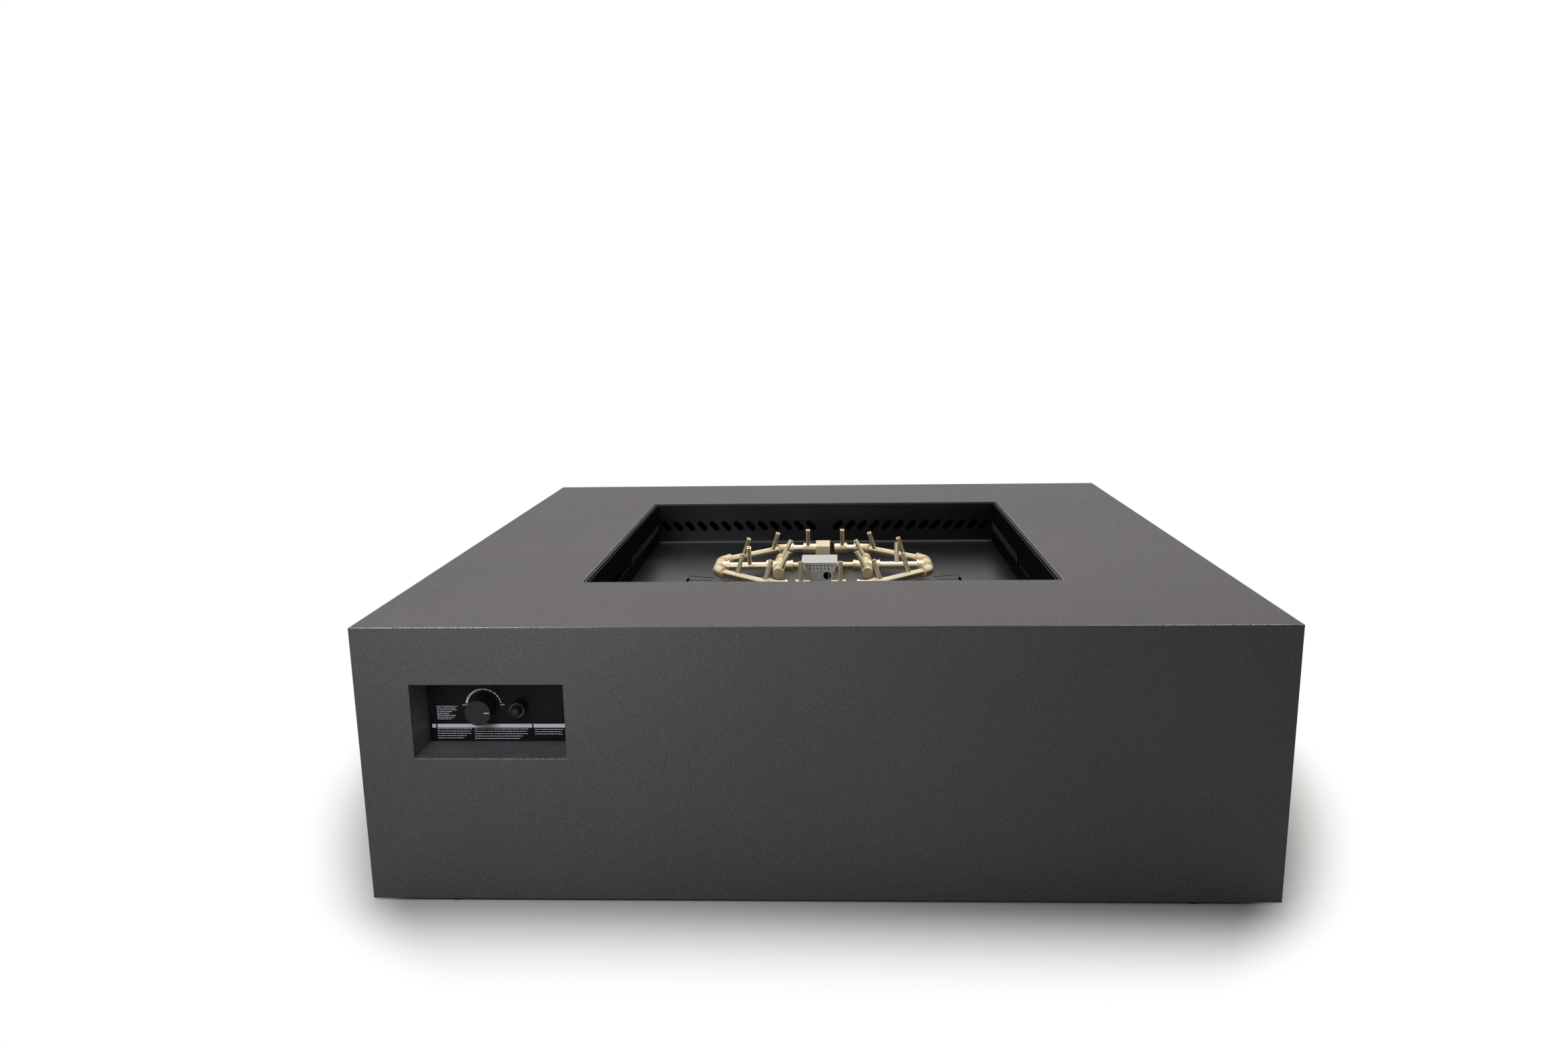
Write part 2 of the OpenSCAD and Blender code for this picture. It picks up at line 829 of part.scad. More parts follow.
module inlet_nipple() {
    low = feed_z + elbow_reach - inlet_in;
    color("#b99a5e")
        translate([0, 0, low])
            difference() {
                cylinder(r = inlet_r, h = hub_low + 8 - low);
                translate([0, 0, -past])
                    cylinder(d = inlet_bore, h = hub_low + 8 - low + 2 * past);
            }
}

module pan_nuts() {
    color("#9c9c98")
        for (z = [floor_low - nut_t, floor_top])
            translate([0, 0, z])
                difference() {
                    cylinder(r = inlet_r + 6, h = nut_t, $fn = 6);
                    translate([0, 0, -past])
                        cylinder(r = inlet_r + thread_gap, h = nut_t + 2 * past);
                }
}

module inlet_elbow() {
    p = [0, 0, feed_z];
    dirs = [[0, 0, 1], [-1, 0, 0]];
    turn_r = elbow_reach - inlet_in - bend_lap;
    color("#b99a5e")
        difference() {
            union() {
                bend(p, -dirs[0], dirs[1], inlet_r + 4 - bend_slim, turn_r);
                for (d = dirs)
                    rod(p + (turn_r - bend_lap) * d, p + elbow_reach * d, inlet_r + 4);
            }
            bend(p, -dirs[0], dirs[1], inlet_bore / 2, turn_r);
            for (d = dirs)
                rod(p + (turn_r - bend_lap / 2) * d, p + (elbow_reach + past) * d, inlet_r + thread_gap);
        }
}

module air_mixer() {
    spigot = 8;
    left = [mixer_x, 0, feed_z];
    right = [-elbow_reach, 0, feed_z];
    middle = (left + right) / 2;
    color("#a9a9a4")
        difference() {
            union() {
                rod(left, right, mixer_d / 2);
                rod(right, right + [inlet_in, 0, 0], inlet_r);
            }
            rod(left - [past, 0, 0], right + [inlet_in + past, 0, 0], inlet_bore / 2);
            rod(left - [past, 0, 0], left + [inlet_in, 0, 0], inlet_bore / 2 + 1 + thread_gap);
            rod(middle - [0, mixer_d, 0], middle + [0, mixer_d, 0], spigot / 2 + 1);
            rod(middle - [0, 0, mixer_d], middle + [0, 0, mixer_d], spigot / 2 + 1);
        }
}

module orifice_fitting() {
    right = [mixer_x, 0, feed_z];
    left = [orifice_x, 0, feed_z];
    color("#b99a5e")
        difference() {
            union() {
                rod(right, right + [inlet_in, 0, 0], inlet_bore / 2 + 1);
                rod(right - [14, 0, 0], right, mixer_d / 2 - 1, 6);
                rod(left, right - [14, 0, 0], boss_r);
            }
            rod(left - [past, 0, 0], right + [inlet_in + past, 0, 0], 1.2);
            rod(left - [past, 0, 0], left + [tube_in, 0, 0], tube_d / 2 + tube_gap);
        }
}

// A gas tube, bored where it opens at its two ends.
module gas_tube(route, bend_r) {
    last = len(route) - 1;
    difference() {
        run(route, tube_d / 2, bend_r);
        rod(route[0], route[0] + boss_l * unit(route[1] - route[0]), tube_bore / 2);
        rod(route[last], route[last] + boss_l * unit(route[last - 1] - route[last]), tube_bore / 2);
    }
}

module feed_tube() {
    start_y = plate_y - valve_back + boss_l - tube_in;
    color("#b08d57")
        gas_tube([
            [knob_x, start_y, recess_z],
            [knob_x, feed_drop_y, recess_z],
            [knob_x, feed_drop_y, feed_z],
            [knob_x, 0, feed_z],
            [orifice_x + tube_in, 0, feed_z]], tube_bend);
}

supply_y = plate_y - port_z;
valve_low = recess_z - valve_w / 2;
bracket_t = 2;
shank_r = supply_d / 2 + 1;
shank_l = bracket_t + nut_t + 1;

module supply_tube() {
    color("#b08d57")
        difference() {
            rod([knob_x, supply_y, supply_z + 24 - tube_in], [knob_x, supply_y, valve_low - boss_l + tube_in],
                tube_d / 2);
            rod([knob_x, supply_y, supply_z], [knob_x, supply_y, valve_low], tube_bore / 2);
        }
}

module supply_fitting() {
    p = [knob_x, supply_y, supply_z];
    color("#b99a5e")
        difference() {
            union() {
                rod(p - [0, 0, shank_l + supply_l], p - [0, 0, shank_l], supply_d / 2);
                rod(p - [0, 0, shank_l], p, shank_r);
                rod(p, p + [0, 0, 14], shank_r + 5, 6);
                rod(p + [0, 0, 14], p + [0, 0, 24], boss_r);
            }
            rod(p - [0, 0, shank_l + supply_l + past], p + [0, 0, 25], 4);
            rod(p + [0, 0, 24 - tube_in], p + [0, 0, 25], tube_d / 2 + tube_gap);
        }
}

module supply_nut() {
    p = [knob_x, supply_y, supply_z - bracket_t];
    color("#9c9c98")
        difference() {
            rod(p - [0, 0, nut_t], p, shank_r + 5, 6);
            rod(p - [0, 0, nut_t + past], p + [0, 0, past], shank_r + thread_gap);
        }
}

module supply_bracket() {
    wide = 46;
    front = -inner_w / 2;
    color("#3a3a3c")
        difference() {
            union() {
                translate([knob_x - wide / 2, front, supply_z - bracket_t])
                    cube([wide, supply_y - front + wide / 2, bracket_t]);
                translate([knob_x - wide / 2, front, supply_z - bracket_t])
                    cube([wide, bracket_t, 40]);
            }
            translate([knob_x, supply_y, supply_z - bracket_t - past])
                cylinder(r = shank_r + hole_gap, h = bracket_t + 2 * past);
        }
}

// Igniter box in the pan

module hood_flap() {
    rotate([90, 0, 0])
        linear_extrude(hood_t, center = true)
            difference() {
                polygon([[-hood_w / 2, 0], [hood_w / 2, 0], [flap_low_w / 2, -flap_h], [-flap_low_w / 2, -flap_h]]);
                for (row = [0, 1], i = [0 : 7 - 2 * row])
                    translate([(i - 3.5 + row) * vent_pitch, -0.33 * flap_h - 5.5 * row])
                        circle(d = vent_d);
            }
}

module igniter_hood() {
    color("#b9b9b6") {
        translate([-box_left - hood_w / 2, -hood_front - hood_l / 2, hood_z - hood_t])
            cube([hood_w, hood_l, hood_t]);
        for (side = [-1, 1])
            translate([-box_left, -hood_front + side * (hood_l - hood_t) / 2, hood_z])
                hood_flap();
    }
}

module igniter_box() {
    high = hood_z - hood_t - floor_top;
    color("#9d9d9b")
        difference() {
            translate([-box_left - box_w / 2, box_front, floor_top])
                cube([box_w, box_l, high]);
            translate([-box_left - box_w / 2 + hood_t, box_front + hood_t, floor_top - past])
                cube([box_w - 2 * hood_t, box_l, high + 2 * past]);
            translate([window_x - box_left, box_front, hood_z - flap_h - window_d / 2 - 1])
                rotate([90, 0, 0])
                    cylinder(d = window_d, h = 4 * hood_t, center = true);
        }
}

module electrode_insulator() {
    color("#e8e4da")
        translate([electrode_x, electrode_y, 0])
            difference() {
                union() {
                    translate([0, 0, insulator_low])
                        cylinder(r = 4, h = floor_top + 16 - insulator_low);
                    translate([0, 0, floor_top])
                        cylinder(r = 6, h = 3);
                }
                translate([0, 0, floor_top + 8])
                    cylinder(r = 1 + thread_gap, h = 9);
            }
}

module electrode_rod() {
    color("#c9c9c6")
        translate([electrode_x, electrode_y, floor_top + 8])
            cylinder(r = 1, h = hood_lift - 8 - 16);
}

module thermocouple() {
    color("#b87a50")
        translate([probe_x, probe_y, 0]) {
            translate([0, 0, floor_low - 8])
                cylinder(r = 3, h = pan_t + 8 + hood_lift - 22);
            translate([0, 0, floor_top])
                cylinder(r = 5.5, h = 3);
        }
}

// Leads under the pan, along their routes.
spark_start_y = plate_y + back_t + housing_l + 8;
capillary_y = plate_y - capillary_z;
spark_route = [
    [button_x, spark_start_y, recess_z],
    [button_x, spark_start_y + 3 * lead_bend, recess_z],
    [button_x, spark_start_y + 3 * lead_bend, lead_z],
    [button_x, electrode_y, lead_z],
    [electrode_x, electrode_y, lead_z],
    [electrode_x, electrode_y, insulator_low]];
capillary_route = [
    [knob_x, capillary_y, valve_low - 6],
    [knob_x, capillary_y, capillary_low],
    [probe_x, capillary_y, capillary_low],
    [probe_x, probe_y, capillary_low],
    [probe_x, probe_y, floor_low - 8]];

module spark_lead() {
    color("#8d2a22")
        run(spark_route, lead_r, lead_bend);
}

module thermocouple_lead() {
    color("#b08d57")
        run(capillary_route, capillary_r, lead_bend);
}

// A strap from the front pan rail's outer face down to a lead.
module lead_clip(x, z, r) {
    y = -pan_rail_y - pan_rail_w / 2;
    strap_t = 1.5;
    difference() {
        union() {
            translate([x - 5, y - strap_t, z])
                cube([10, strap_t, floor_low - pan_rail_h + 12 - z]);
            rod([x, y - 10, z], [x, y, z], r + 2.5);
        }
        rod([x, y - 11, z], [x, y + past, z], r + thread_gap);
    }
}

module lead_clips() {
    color("#9c9c98") {
        lead_clip(button_x, lead_z, lead_r);
        lead_clip(probe_x, capillary_low, capillary_r);
    }
}

// Control recess

// A block around the recess's middle, between two distances from the control plate's face.
module recess_block(w, h, low, high) {
    translate([-w / 2, -h / 2, low])
        cube([w, h, high - low]);
}

// The holes for the valve's neck and the igniter's housing.
module control_holes() {
    translate([-knob_left, 0, -back_t - past])
        cylinder(r = neck_d / 2 + hole_gap, h = back_t + 2 * past);
    translate([igniter_right, 0, -back_t - past])
        cylinder(r = housing_d / 2 + hole_gap, h = back_t + 2 * past);
}

module recess_box() {
    front = recess_depth - panel_t;
    outer_w = recess_w + 2 * sheet_t;
    outer_h = recess_h + 2 * sheet_t;
    color("#242425")
        on_plate(recess_x)
            difference() {
                union() {
                    recess_block(outer_w, outer_h, -back_t, front);
                    recess_block(outer_w + 2 * recess_flange, outer_h + 2 * recess_flange, front - sheet_t, front);
                }
                recess_block(recess_w, recess_h, -plate_t, front + past);
                control_holes();
            }
}

module control_plate() {
    color("#0f0f11")
        on_plate(recess_x)
            difference() {
                recess_block(recess_w - 2 * plate_gap, recess_h - 2 * plate_gap, -plate_t, 0);
                control_holes();
            }
}

// Valve, along the axis of the knob

neck_l = 7;

module valve_body() {
    back = valve_back;
    color("#b99a5e")
        on_plate(knob_x)
            difference() {
                union() {
                    recess_block(valve_w, valve_w, back, -back_t);
                    translate([0, 0, -back_t])
                        cylinder(d = neck_d, h = back_t + neck_l);
                    translate([0, 0, back - boss_l])
                        cylinder(r = boss_r, h = boss_l);
                    rod([0, -valve_w / 2 - boss_l, port_z], [0, -valve_w / 2, port_z], boss_r);
                    rod([0, -valve_w / 2 - 6, capillary_z], [0, -valve_w / 2, capillary_z], 4.5);
                }
                translate([0, 0, plug_back - end_gap])
                    cylinder(r = plug_d / 2 + run_gap, h = plug_l + 2 * end_gap);
                translate([0, 0, plug_front])
                    cylinder(r = spindle_d / 2 + run_gap, h = neck_l - plug_front + past);
                translate([0, 0, back - boss_l - past])
                    cylinder(r = 4, h = boss_l + back_wall + 2 * past);
                translate([0, 0, back - boss_l - past])
                    cylinder(r = tube_d / 2 + tube_gap, h = tube_in + past);
                rod([0, -valve_w / 2 - boss_l - past, port_z], [0, 0, port_z], 4);
                rod([0, -valve_w / 2 - boss_l - past, port_z], [0, -valve_w / 2 - boss_l + tube_in, port_z],
                    tube_d / 2 + tube_gap);
            }
}

module valve_nut() {
    color("#9c9c98")
        on_plate(knob_x)
            difference() {
                cylinder(r = neck_d / 2 + 4, h = 4.5, $fn = 6);
                translate([0, 0, -past])
                    cylinder(r = neck_d / 2 + thread_gap, h = 4.5 + 2 * past);
            }
}

// How deep the spindle sits in the plug, and the depth of its socket, with room for the spring.
spindle_in = 7;
socket_l = spindle_in + push_travel + 5;

module valve_plug() {
    color("#8f7a4e")
        on_plate(knob_x)
            difference() {
                translate([0, 0, plug_back])
                    cylinder(d = plug_d, h = plug_l);
                translate([0, 0, plug_front - socket_l])
                    cylinder(r = spindle_d / 2 + run_gap, h = socket_l + past);
                translate([0, 0, plug_back - past])
                    cylinder(r = 3.5, h = past + port_z - plug_back);
                rod([0, 0, port_z], [0, plug_d / 2 + past, port_z], 3.5);
            }
}

module valve_spring() {
    wire = 0.4;
    height = socket_l - spindle_in - 2 * wire - 0.2;
    color("#9c9c98")
        on_plate(knob_x)
            translate([0, 0, plug_front - socket_l + wire + 0.1])
                coil(spindle_d / 2 - 1, wire, height, 5);
}

module valve_spindle() {
    color("#a9a9a4")
        on_plate(knob_x)
            translate([0, 0, plug_front - spindle_in])
                cylinder(d = spindle_d, h = knob_gap + knob_l - 5 - plug_front + spindle_in);
}

// The pointer stands at three o'clock, the OFF mark.
module pointer_block(gap) {
    deep = 0.8;
    translate([knob_d / 2 - 2 - pointer_l - gap, -pointer_w / 2 - gap, knob_gap + knob_l - deep - gap])
        cube([pointer_l + 2 * gap, pointer_w + 2 * gap, deep + past * (gap > 0 ? 1 : 0) + gap]);
}

module control_knob() {
    hollow = 8;
    top = knob_gap + knob_l;
    color("#262525")
        on_plate(knob_x)
            difference() {
                translate([0, 0, knob_gap])
                    cylinder(d = knob_d, h = knob_l);
                translate([0, 0, knob_gap - past])
                    cylinder(r = knob_d / 2 - knob_wall, h = hollow + past);
                translate([0, 0, knob_gap])
                    cylinder(r = spindle_d / 2 + thread_gap, h = top - 5 - knob_gap);
                pointer_block(thread_gap);
            }
}

module knob_pointer() {
    color("#f2f2ee")
        on_plate(knob_x)
            pointer_block(0);
}

// Igniter, along the axis of its button

housing_back = -back_t - housing_l;
thread_up = 8;
cap_wall = 3;

module igniter_housing() {
    color("#1d1d1e")
        on_plate(button_x)
            difference() {
                union() {
                    translate([0, 0, housing_back])
                        cylinder(d = housing_d, h = thread_up - housing_back);
                    translate([0, 0, housing_back - 8])
                        cylinder(r = 3.5, h = 8);
                }
                translate([0, 0, housing_back + 2])
                    cylinder(r = housing_d / 2 - housing_wall, h = thread_up - housing_back);
            }
}

module igniter_nut() {
    color("#9c9c98")
        on_plate(button_x)
            translate([0, 0, -back_t - 5])
                difference() {
                    cylinder(r = housing_d / 2 + 5, h = 5, $fn = 6);
                    translate([0, 0, -past])
                        cylinder(r = housing_d / 2 + thread_gap, h = 5 + 2 * past);
                }
}

module igniter_cap() {
    color("#1d1d1e")
        on_plate(button_x)
            difference() {
                cylinder(d = cap_d, h = cap_h);
                translate([0, 0, -past])
                    cylinder(r = housing_d / 2 + thread_gap, h = cap_h - cap_wall + past);
                cylinder(r = button_d / 2 + button_gap, h = cap_h + past);
            }
}

// The button's back end, and the flange that its cap holds it in by.
button_back = thread_up + 1;

module igniter_button() {
    flange_t = 2;
    color("#2a2a2b")
        on_plate(button_x) {
            translate([0, 0, button_back])
                cylinder(d = button_d, h = cap_h + button_up - button_back);
            translate([0, 0, cap_h - cap_wall - flange_t - 0.3])
                cylinder(r = housing_d / 2 - button_gap, h = flange_t);
        }
}

battery_l = 50;

module igniter_spring() {
    wire = 0.5;
    low = housing_back + 2 + battery_l;
    color("#9c9c98")
        on_plate(button_x)
            translate([0, 0, low + wire + 0.1])
                coil(5, wire, button_back - low - 2 * wire - 0.2, 6);
}

module igniter_battery() {
    color("#6d7a66")
        on_plate(button_x)
            translate([0, 0, housing_back + 2])
                cylinder(r = housing_d / 2 - housing_wall - 0.3, h = battery_l);
}

top_plate();
front_panel();
back_panel();
left_panel();
right_panel();
base_rails();
corner_posts();
rubber_feet();
opening_collar();
pan_rails();
pan_tray();
pan_left_wall();
pan_right_wall();
burner_hub();
burner_nipples();
arm_crosses();
branch_caps();
arm_pipes();
side_tees();
side_elbows();
diagonal_pipes();
corner_elbows();
end_pipes();
end_caps();
burner_jets();
inlet_nipple();
pan_nuts();
inlet_elbow();
air_mixer();
orifice_fitting();
feed_tube();
supply_tube();
supply_fitting();
supply_nut();
supply_bracket();
igniter_box();
igniter_hood();
electrode_insulator();
electrode_rod();
thermocouple();
spark_lead();
thermocouple_lead();
lead_clips();
recess_box();
control_plate();
valve_body();
valve_nut();
valve_plug();
valve_spring();
valve_spindle();
control_knob();
knob_pointer();
igniter_housing();
igniter_nut();
igniter_cap();
igniter_button();
igniter_spring();
igniter_battery();
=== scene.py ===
"""Dresses the fire pit table: finishes, threads, weld tacks, springs and dial print, and its studio."""

import json
import math

import bmesh
import bpy
from bpy.props import FloatProperty, FloatVectorProperty, PointerProperty
from mathutils import Matrix, Vector

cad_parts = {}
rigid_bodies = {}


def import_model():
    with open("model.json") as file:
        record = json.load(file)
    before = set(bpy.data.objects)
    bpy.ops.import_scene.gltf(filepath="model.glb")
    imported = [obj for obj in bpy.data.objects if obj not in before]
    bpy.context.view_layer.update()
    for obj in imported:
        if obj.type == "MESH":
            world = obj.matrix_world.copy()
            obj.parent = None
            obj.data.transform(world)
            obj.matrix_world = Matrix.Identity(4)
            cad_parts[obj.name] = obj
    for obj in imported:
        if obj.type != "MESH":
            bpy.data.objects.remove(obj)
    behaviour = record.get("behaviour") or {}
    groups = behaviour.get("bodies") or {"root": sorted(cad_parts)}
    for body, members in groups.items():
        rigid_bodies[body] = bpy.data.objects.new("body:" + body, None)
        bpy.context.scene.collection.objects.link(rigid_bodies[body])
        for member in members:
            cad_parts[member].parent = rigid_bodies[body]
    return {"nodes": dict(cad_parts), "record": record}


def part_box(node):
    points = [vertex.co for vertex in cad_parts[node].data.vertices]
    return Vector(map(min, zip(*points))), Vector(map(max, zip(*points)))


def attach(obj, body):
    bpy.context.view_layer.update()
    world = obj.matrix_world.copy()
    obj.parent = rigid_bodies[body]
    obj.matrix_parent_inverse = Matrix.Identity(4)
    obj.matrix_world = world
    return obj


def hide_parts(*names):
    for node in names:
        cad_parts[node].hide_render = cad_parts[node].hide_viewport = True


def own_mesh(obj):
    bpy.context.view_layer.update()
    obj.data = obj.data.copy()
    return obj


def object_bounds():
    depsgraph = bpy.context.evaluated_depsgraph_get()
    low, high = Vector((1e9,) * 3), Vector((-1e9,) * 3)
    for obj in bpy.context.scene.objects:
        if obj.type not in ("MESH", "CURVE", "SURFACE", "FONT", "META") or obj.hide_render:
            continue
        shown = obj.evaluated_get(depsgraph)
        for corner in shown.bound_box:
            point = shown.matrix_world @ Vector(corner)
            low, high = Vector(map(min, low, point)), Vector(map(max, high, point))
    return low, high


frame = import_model()
cad_low, cad_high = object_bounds()

bl_info = {
    "name": "Fire Pit Table Looks",
    "version": (1, 0, 0),
    "blender": (4, 5, 0),
    "location": "View3D > Sidebar > Fire Pit",
    "description": "Finishes, threads, weld tacks, springs and dial print for a square gas fire pit table",
    "category": "Object",
}

MM = 0.001

# Angles above which an edge is hard and below which two faces are one, and the distance that joins points.
HARD_EDGE = math.radians(40)
FLAT_ANGLE = math.radians(0.4)
SAME_POINT = 0.002 * MM

# Directions, and how far behind a face its own edges may lie.
UP = Vector((0, 0, 1))
FORWARD = Vector((0, -1, 0))
FACE_REACH = 0.5 * MM

# The photograph's frame and the camera that fits its edges, with lengths in pixels and metres.
IMAGE_W = 2349
IMAGE_H = 1568
FOCAL_PIXELS = 1726.5
CENTRE_PIXEL = (1183.8, 840.9)
CAMERA_PLACE = (0.0207, -2.0263, 0.778)
CAMERA_PITCH = math.radians(12.240)
CAMERA_YAW = math.radians(2.206)
CAMERA_ROLL = math.radians(-0.330)
SENSOR_W = 36

# Blocks of ruled lines on the control plate, in millimetres from the knob's axis: left, right, top, row
# pitch and number of rows.
RULED_BLOCKS = (
    (-65.5, -37, 0, 2.6, 8),
    (-67, -19, -32.5, 3.3, 5),
    (-15.5, 59, -32.8, 3.4, 5),
    (68, 107, -33.4, 3.3, 3),
)

# Lengths of the ruled dashes in turn, and how far short of its block each row ends, in millimetres.
DASHES = (5.5, 2.6, 7.5, 4, 3.2)
RAGGED = (0, 2, 1, 8, 12, 3, 5, 9)

# The dial's arc in degrees from 3 o'clock: its unbroken stretch, the dashes after it and their gap.
ARC_WHOLE = (170, 93)
ARC_DASHES_START = 90
ARC_DASHES = (16, 13, 11, 9, 7.5, 6.5)
ARC_GAP = 3.2

# The dial's words: height of a capital as a share of the type size, and their place from the arc's ends.
CAPITAL_SHARE = 0.69
WORD_OUT = 1.7 * MM
WORD_UP = 0.4 * MM

# Wire radius and number of turns of each spring.
SPRINGS = {"valve_spring": (0.4 * MM, 7), "igniter_spring": (0.5 * MM, 8)}

# Radius of the nipples' bore, and distances of the weld tacks from the ends of the pan's side walls.
NIPPLE_BORE = 4.6 * MM
TACK_PLACES = (20 * MM, 55 * MM)

# Studio floor: half its width, its paint, and where the shadow starts to fade beside and before the table.
FLOOR_HALF = 9.0
FLOOR_PAINT = (0.97, 0.96, 0.905)
SHADOW_START = (-0.055, -0.01)

# Softboxes: name, place, target, width, and the settings of their power and tint.
SOFTBOXES = (
    ("ceiling_softbox", (0, 0.16, 2.4), (0, 0.16, 0), 1.4, "ceiling_power", "warm"),
    ("front_softbox", (-0.48, -1.3, 0.7), (-0.24, -0.6, 0.25), 0.35, "front_power", "cool"),
    ("low_softbox", (0.5, -1.6, 0.35), (0.2, -0.6, 0.25), 0.4, "low_power", "cool"),
    ("left_softbox", (-2, 0.3, 0.2), (-0.6, 0.1, 0.2), 0.3, "around_power", "cool"),
    ("right_softbox", (2, 0.3, 0.2), (0.6, 0.1, 0.2), 0.3, "around_power", "cool"),
    ("back_softbox", (0.3, 2, 0.2), (0.1, 0.6, 0.2), 0.3, "around_power", "cool"),
)


def srgb(code):
    """A web colour such as "#716d69" as linear red, green and blue."""
    parts = [int(code[i:i + 2], 16) / 255 for i in (1, 3, 5)]
    return tuple(p / 12.92 if p <= 0.04045 else ((p + 0.055) / 1.055) ** 2.4 for p in parts)


def colour(name, description, code):
    """A colour setting."""
    return FloatVectorProperty(
        name=name, description=description, default=srgb(code), subtype="COLOR", size=3, min=0, max=1)


def length(name, description, metres):
    """A length setting."""
    return FloatProperty(
        name=name, description=description, default=metres, min=0, precision=5, unit="LENGTH")


def power(name, description, watts):
    """A lamp power setting."""
    return FloatProperty(name=name, description=description, default=watts, min=0, unit="POWER")


def share(name, description, value):
    """A setting from 0 to 1."""
    return FloatProperty(name=name, description=description, default=value, min=0, max=1, subtype="FACTOR")


class FirePitColours(bpy.types.PropertyGroup):
    """Colours of the finishes."""

    shell: colour("Shell", "Textured powder coat of the top and the panels", "#625f5e")
    # Painted highlight: a light colour mixed into the highest grains of the coat, in place of the lamps'
    # glints on them.
    speck: colour("Speck", "Bright specks on the highest grains of the powder coat", "#a8a39b")
    # Painted highlight: a near-white colour on edges, in place of the lamps' light caught on their
    # rounding.
    worn: colour("Worn edge", "Powder coat rubbed bright on an edge", "#e9e8e6")
    pan: colour("Fire pan", "Satin black paint of the fire pan and its collar", "#101011")
    frame: colour("Frame", "Black coat of the inner rails and posts", "#2b2b2d")
    brass: colour("Brass", "Polished champagne brass of the burner", "#f5e5c3")
    tarnish: colour("Tarnish", "Duller brass in the burner's hollows", "#bba274")
    steel: colour("Stainless", "Brushed stainless steel of the igniter box", "#cdccc9")
    plating: colour("Plating", "Zinc plating of nuts, tubes and springs", "#b9bab8")
    recess: colour("Recess", "Smooth dark coat of the control recess", "#706d6d")
    plate: colour("Control plate", "Printed black face of the control plate", "#0d0d0e")
    knob: colour("Knob", "Moulded black plastic of the knob", "#171617")
    cap: colour("Igniter", "Glossy black plastic of the igniter's cap and button", "#171718")
    ink: colour("Ink", "White ink of the dial and the bars", "#f4f5f7")
    rubber: colour("Rubber", "Rubber of the feet", "#232323")
    ceramic: colour("Ceramic", "Glazed insulator of the spark electrode", "#e9e5d9")
    lead: colour("Lead", "Silicone sleeve of the spark lead", "#7d2420")
    copper: colour("Copper", "Thermocouple and its thin tube", "#b87a56")
    wrap: colour("Battery wrap", "Printed wrap of the igniter's battery", "#2f3b46")


class FirePitSizes(bpy.types.PropertyGroup):
    """Sizes of the details that the finishes and the print add."""

    grain: length("Coat grain", "Width of one grain of the powder coat", 1.3 * MM)
    panel_relief: share("Panel grain", "Depth of the grain on the panels, as a share of the top's", 0.22)
    # Painted highlight: width of the light line on the opening's lower lip, in place of light caught on the
    # sheet's edge.
    lip_wear: length("Lip wear", "Width of the bare line on the lower lip of the control opening", 1.2 * MM)
    panel_round: length("Panel edge", "Rounding of the panels' edges", 0.9 * MM)
    sheet_round: length("Sheet edge", "Rounding of thin sheet edges", 0.35 * MM)
    bend_round: length("Bend", "Rounding of the igniter box's bends", 0.9 * MM)
    fitting_round: length("Fitting edge", "Rounding of the burner's fittings", 0.6 * MM)
    knob_round: length("Knob edge", "Rounding of the knob and the igniter cap", 0.9 * MM)
    button_dome: length("Button dome", "Rounding of the igniter button's face", 5 * MM)
    thread_pitch: length("Thread pitch", "Pitch of the nipples' pipe thread", 1.41 * MM)
    thread_depth: length("Thread depth", "Depth of the nipples' pipe thread", 0.75 * MM)
    tack: length("Weld tack", "Width of a weld tack in the pan's corners", 5 * MM)
    ink_lift: length("Ink lift", "Height of the ink over the control plate", 0.12 * MM)
    arc_radius: length("Arc radius", "Radius of the dial's arc, at its middle", 24 * MM)
    arc_wide: length("Arc, wide end", "Width of the arc at its high end", 3.3 * MM)
    arc_thin: length("Arc, thin end", "Width of the arc at its off end", 1.2 * MM)
    letter: length("Letter height", "Height of the dial's capital letters", 2.3 * MM)
    rule: length("Ruled line", "Height of the ruled lines on the control plate", 0.8 * MM)
    bar_height: length("Bar height", "Height of the white bars under the controls", 5.4 * MM)
    bar_drop: length("Bar drop", "Distance of the bars' middle below the knob's axis", 28.5 * MM)


class FirePitStage(bpy.types.PropertyGroup):
    """Light and floor of the studio."""

    ceiling_power: power("Ceiling softbox", "Power of the softbox over the table", 32)
    front_power: power("Front softbox", "Power of the softbox before the left half of the front", 3.6)
    low_power: power("Low softbox", "Power of the softbox low before the right half", 0.25)
    around_power: power("Side softboxes", "Power of each low softbox beside and behind the table", 4)
    warm: colour("Warm light", "Colour of the light from above", "#fffaf3")
    cool: colour("Cool light", "Colour of the light from the front", "#f1f4ff")
    ambient: share("Ambient", "Strength of the room's own light", 0.03)
    room_front: share("Front room", "How bright the room in front of the table looks in reflections", 0.55)
    front_shadow: length("Front shadow", "Distance before the table where its shadow has faded out", 0.23)
    side_shadow: length("Side shadow", "Distance beside the table where its shadow has faded out", 0.095)
    shadow_bulge: length("Shadow bulge", "How much wider the shadow is at the middle of a side", 0.18)
    floor_grey: share("Floor bounce", "How much light the floor throws back at the table", 0.1)


GROUPS = {
    "fire_pit_colours": FirePitColours, "fire_pit_sizes": FirePitSizes, "fire_pit_stage": FirePitStage}


def look():
    """The colours in use."""
    return bpy.context.scene.fire_pit_colours


def sizes():
    """The detail sizes in use."""
    return bpy.context.scene.fire_pit_sizes


class Channel:
    """One output in a node tree. Arithmetic on it adds Math nodes."""

    def __init__(self, graph, output):
        self.graph = graph
        self.output = output

    def __add__(self, other):
        return self.graph.math("ADD", self, other)

    def __radd__(self, other):
        return self.graph.math("ADD", other, self)

    def __sub__(self, other):
        return self.graph.math("SUBTRACT", self, other)

    def __rsub__(self, other):
        return self.graph.math("SUBTRACT", other, self)

    def __mul__(self, other):
        return self.graph.math("MULTIPLY", self, other)

    def __rmul__(self, other):
        return self.graph.math("MULTIPLY", other, self)


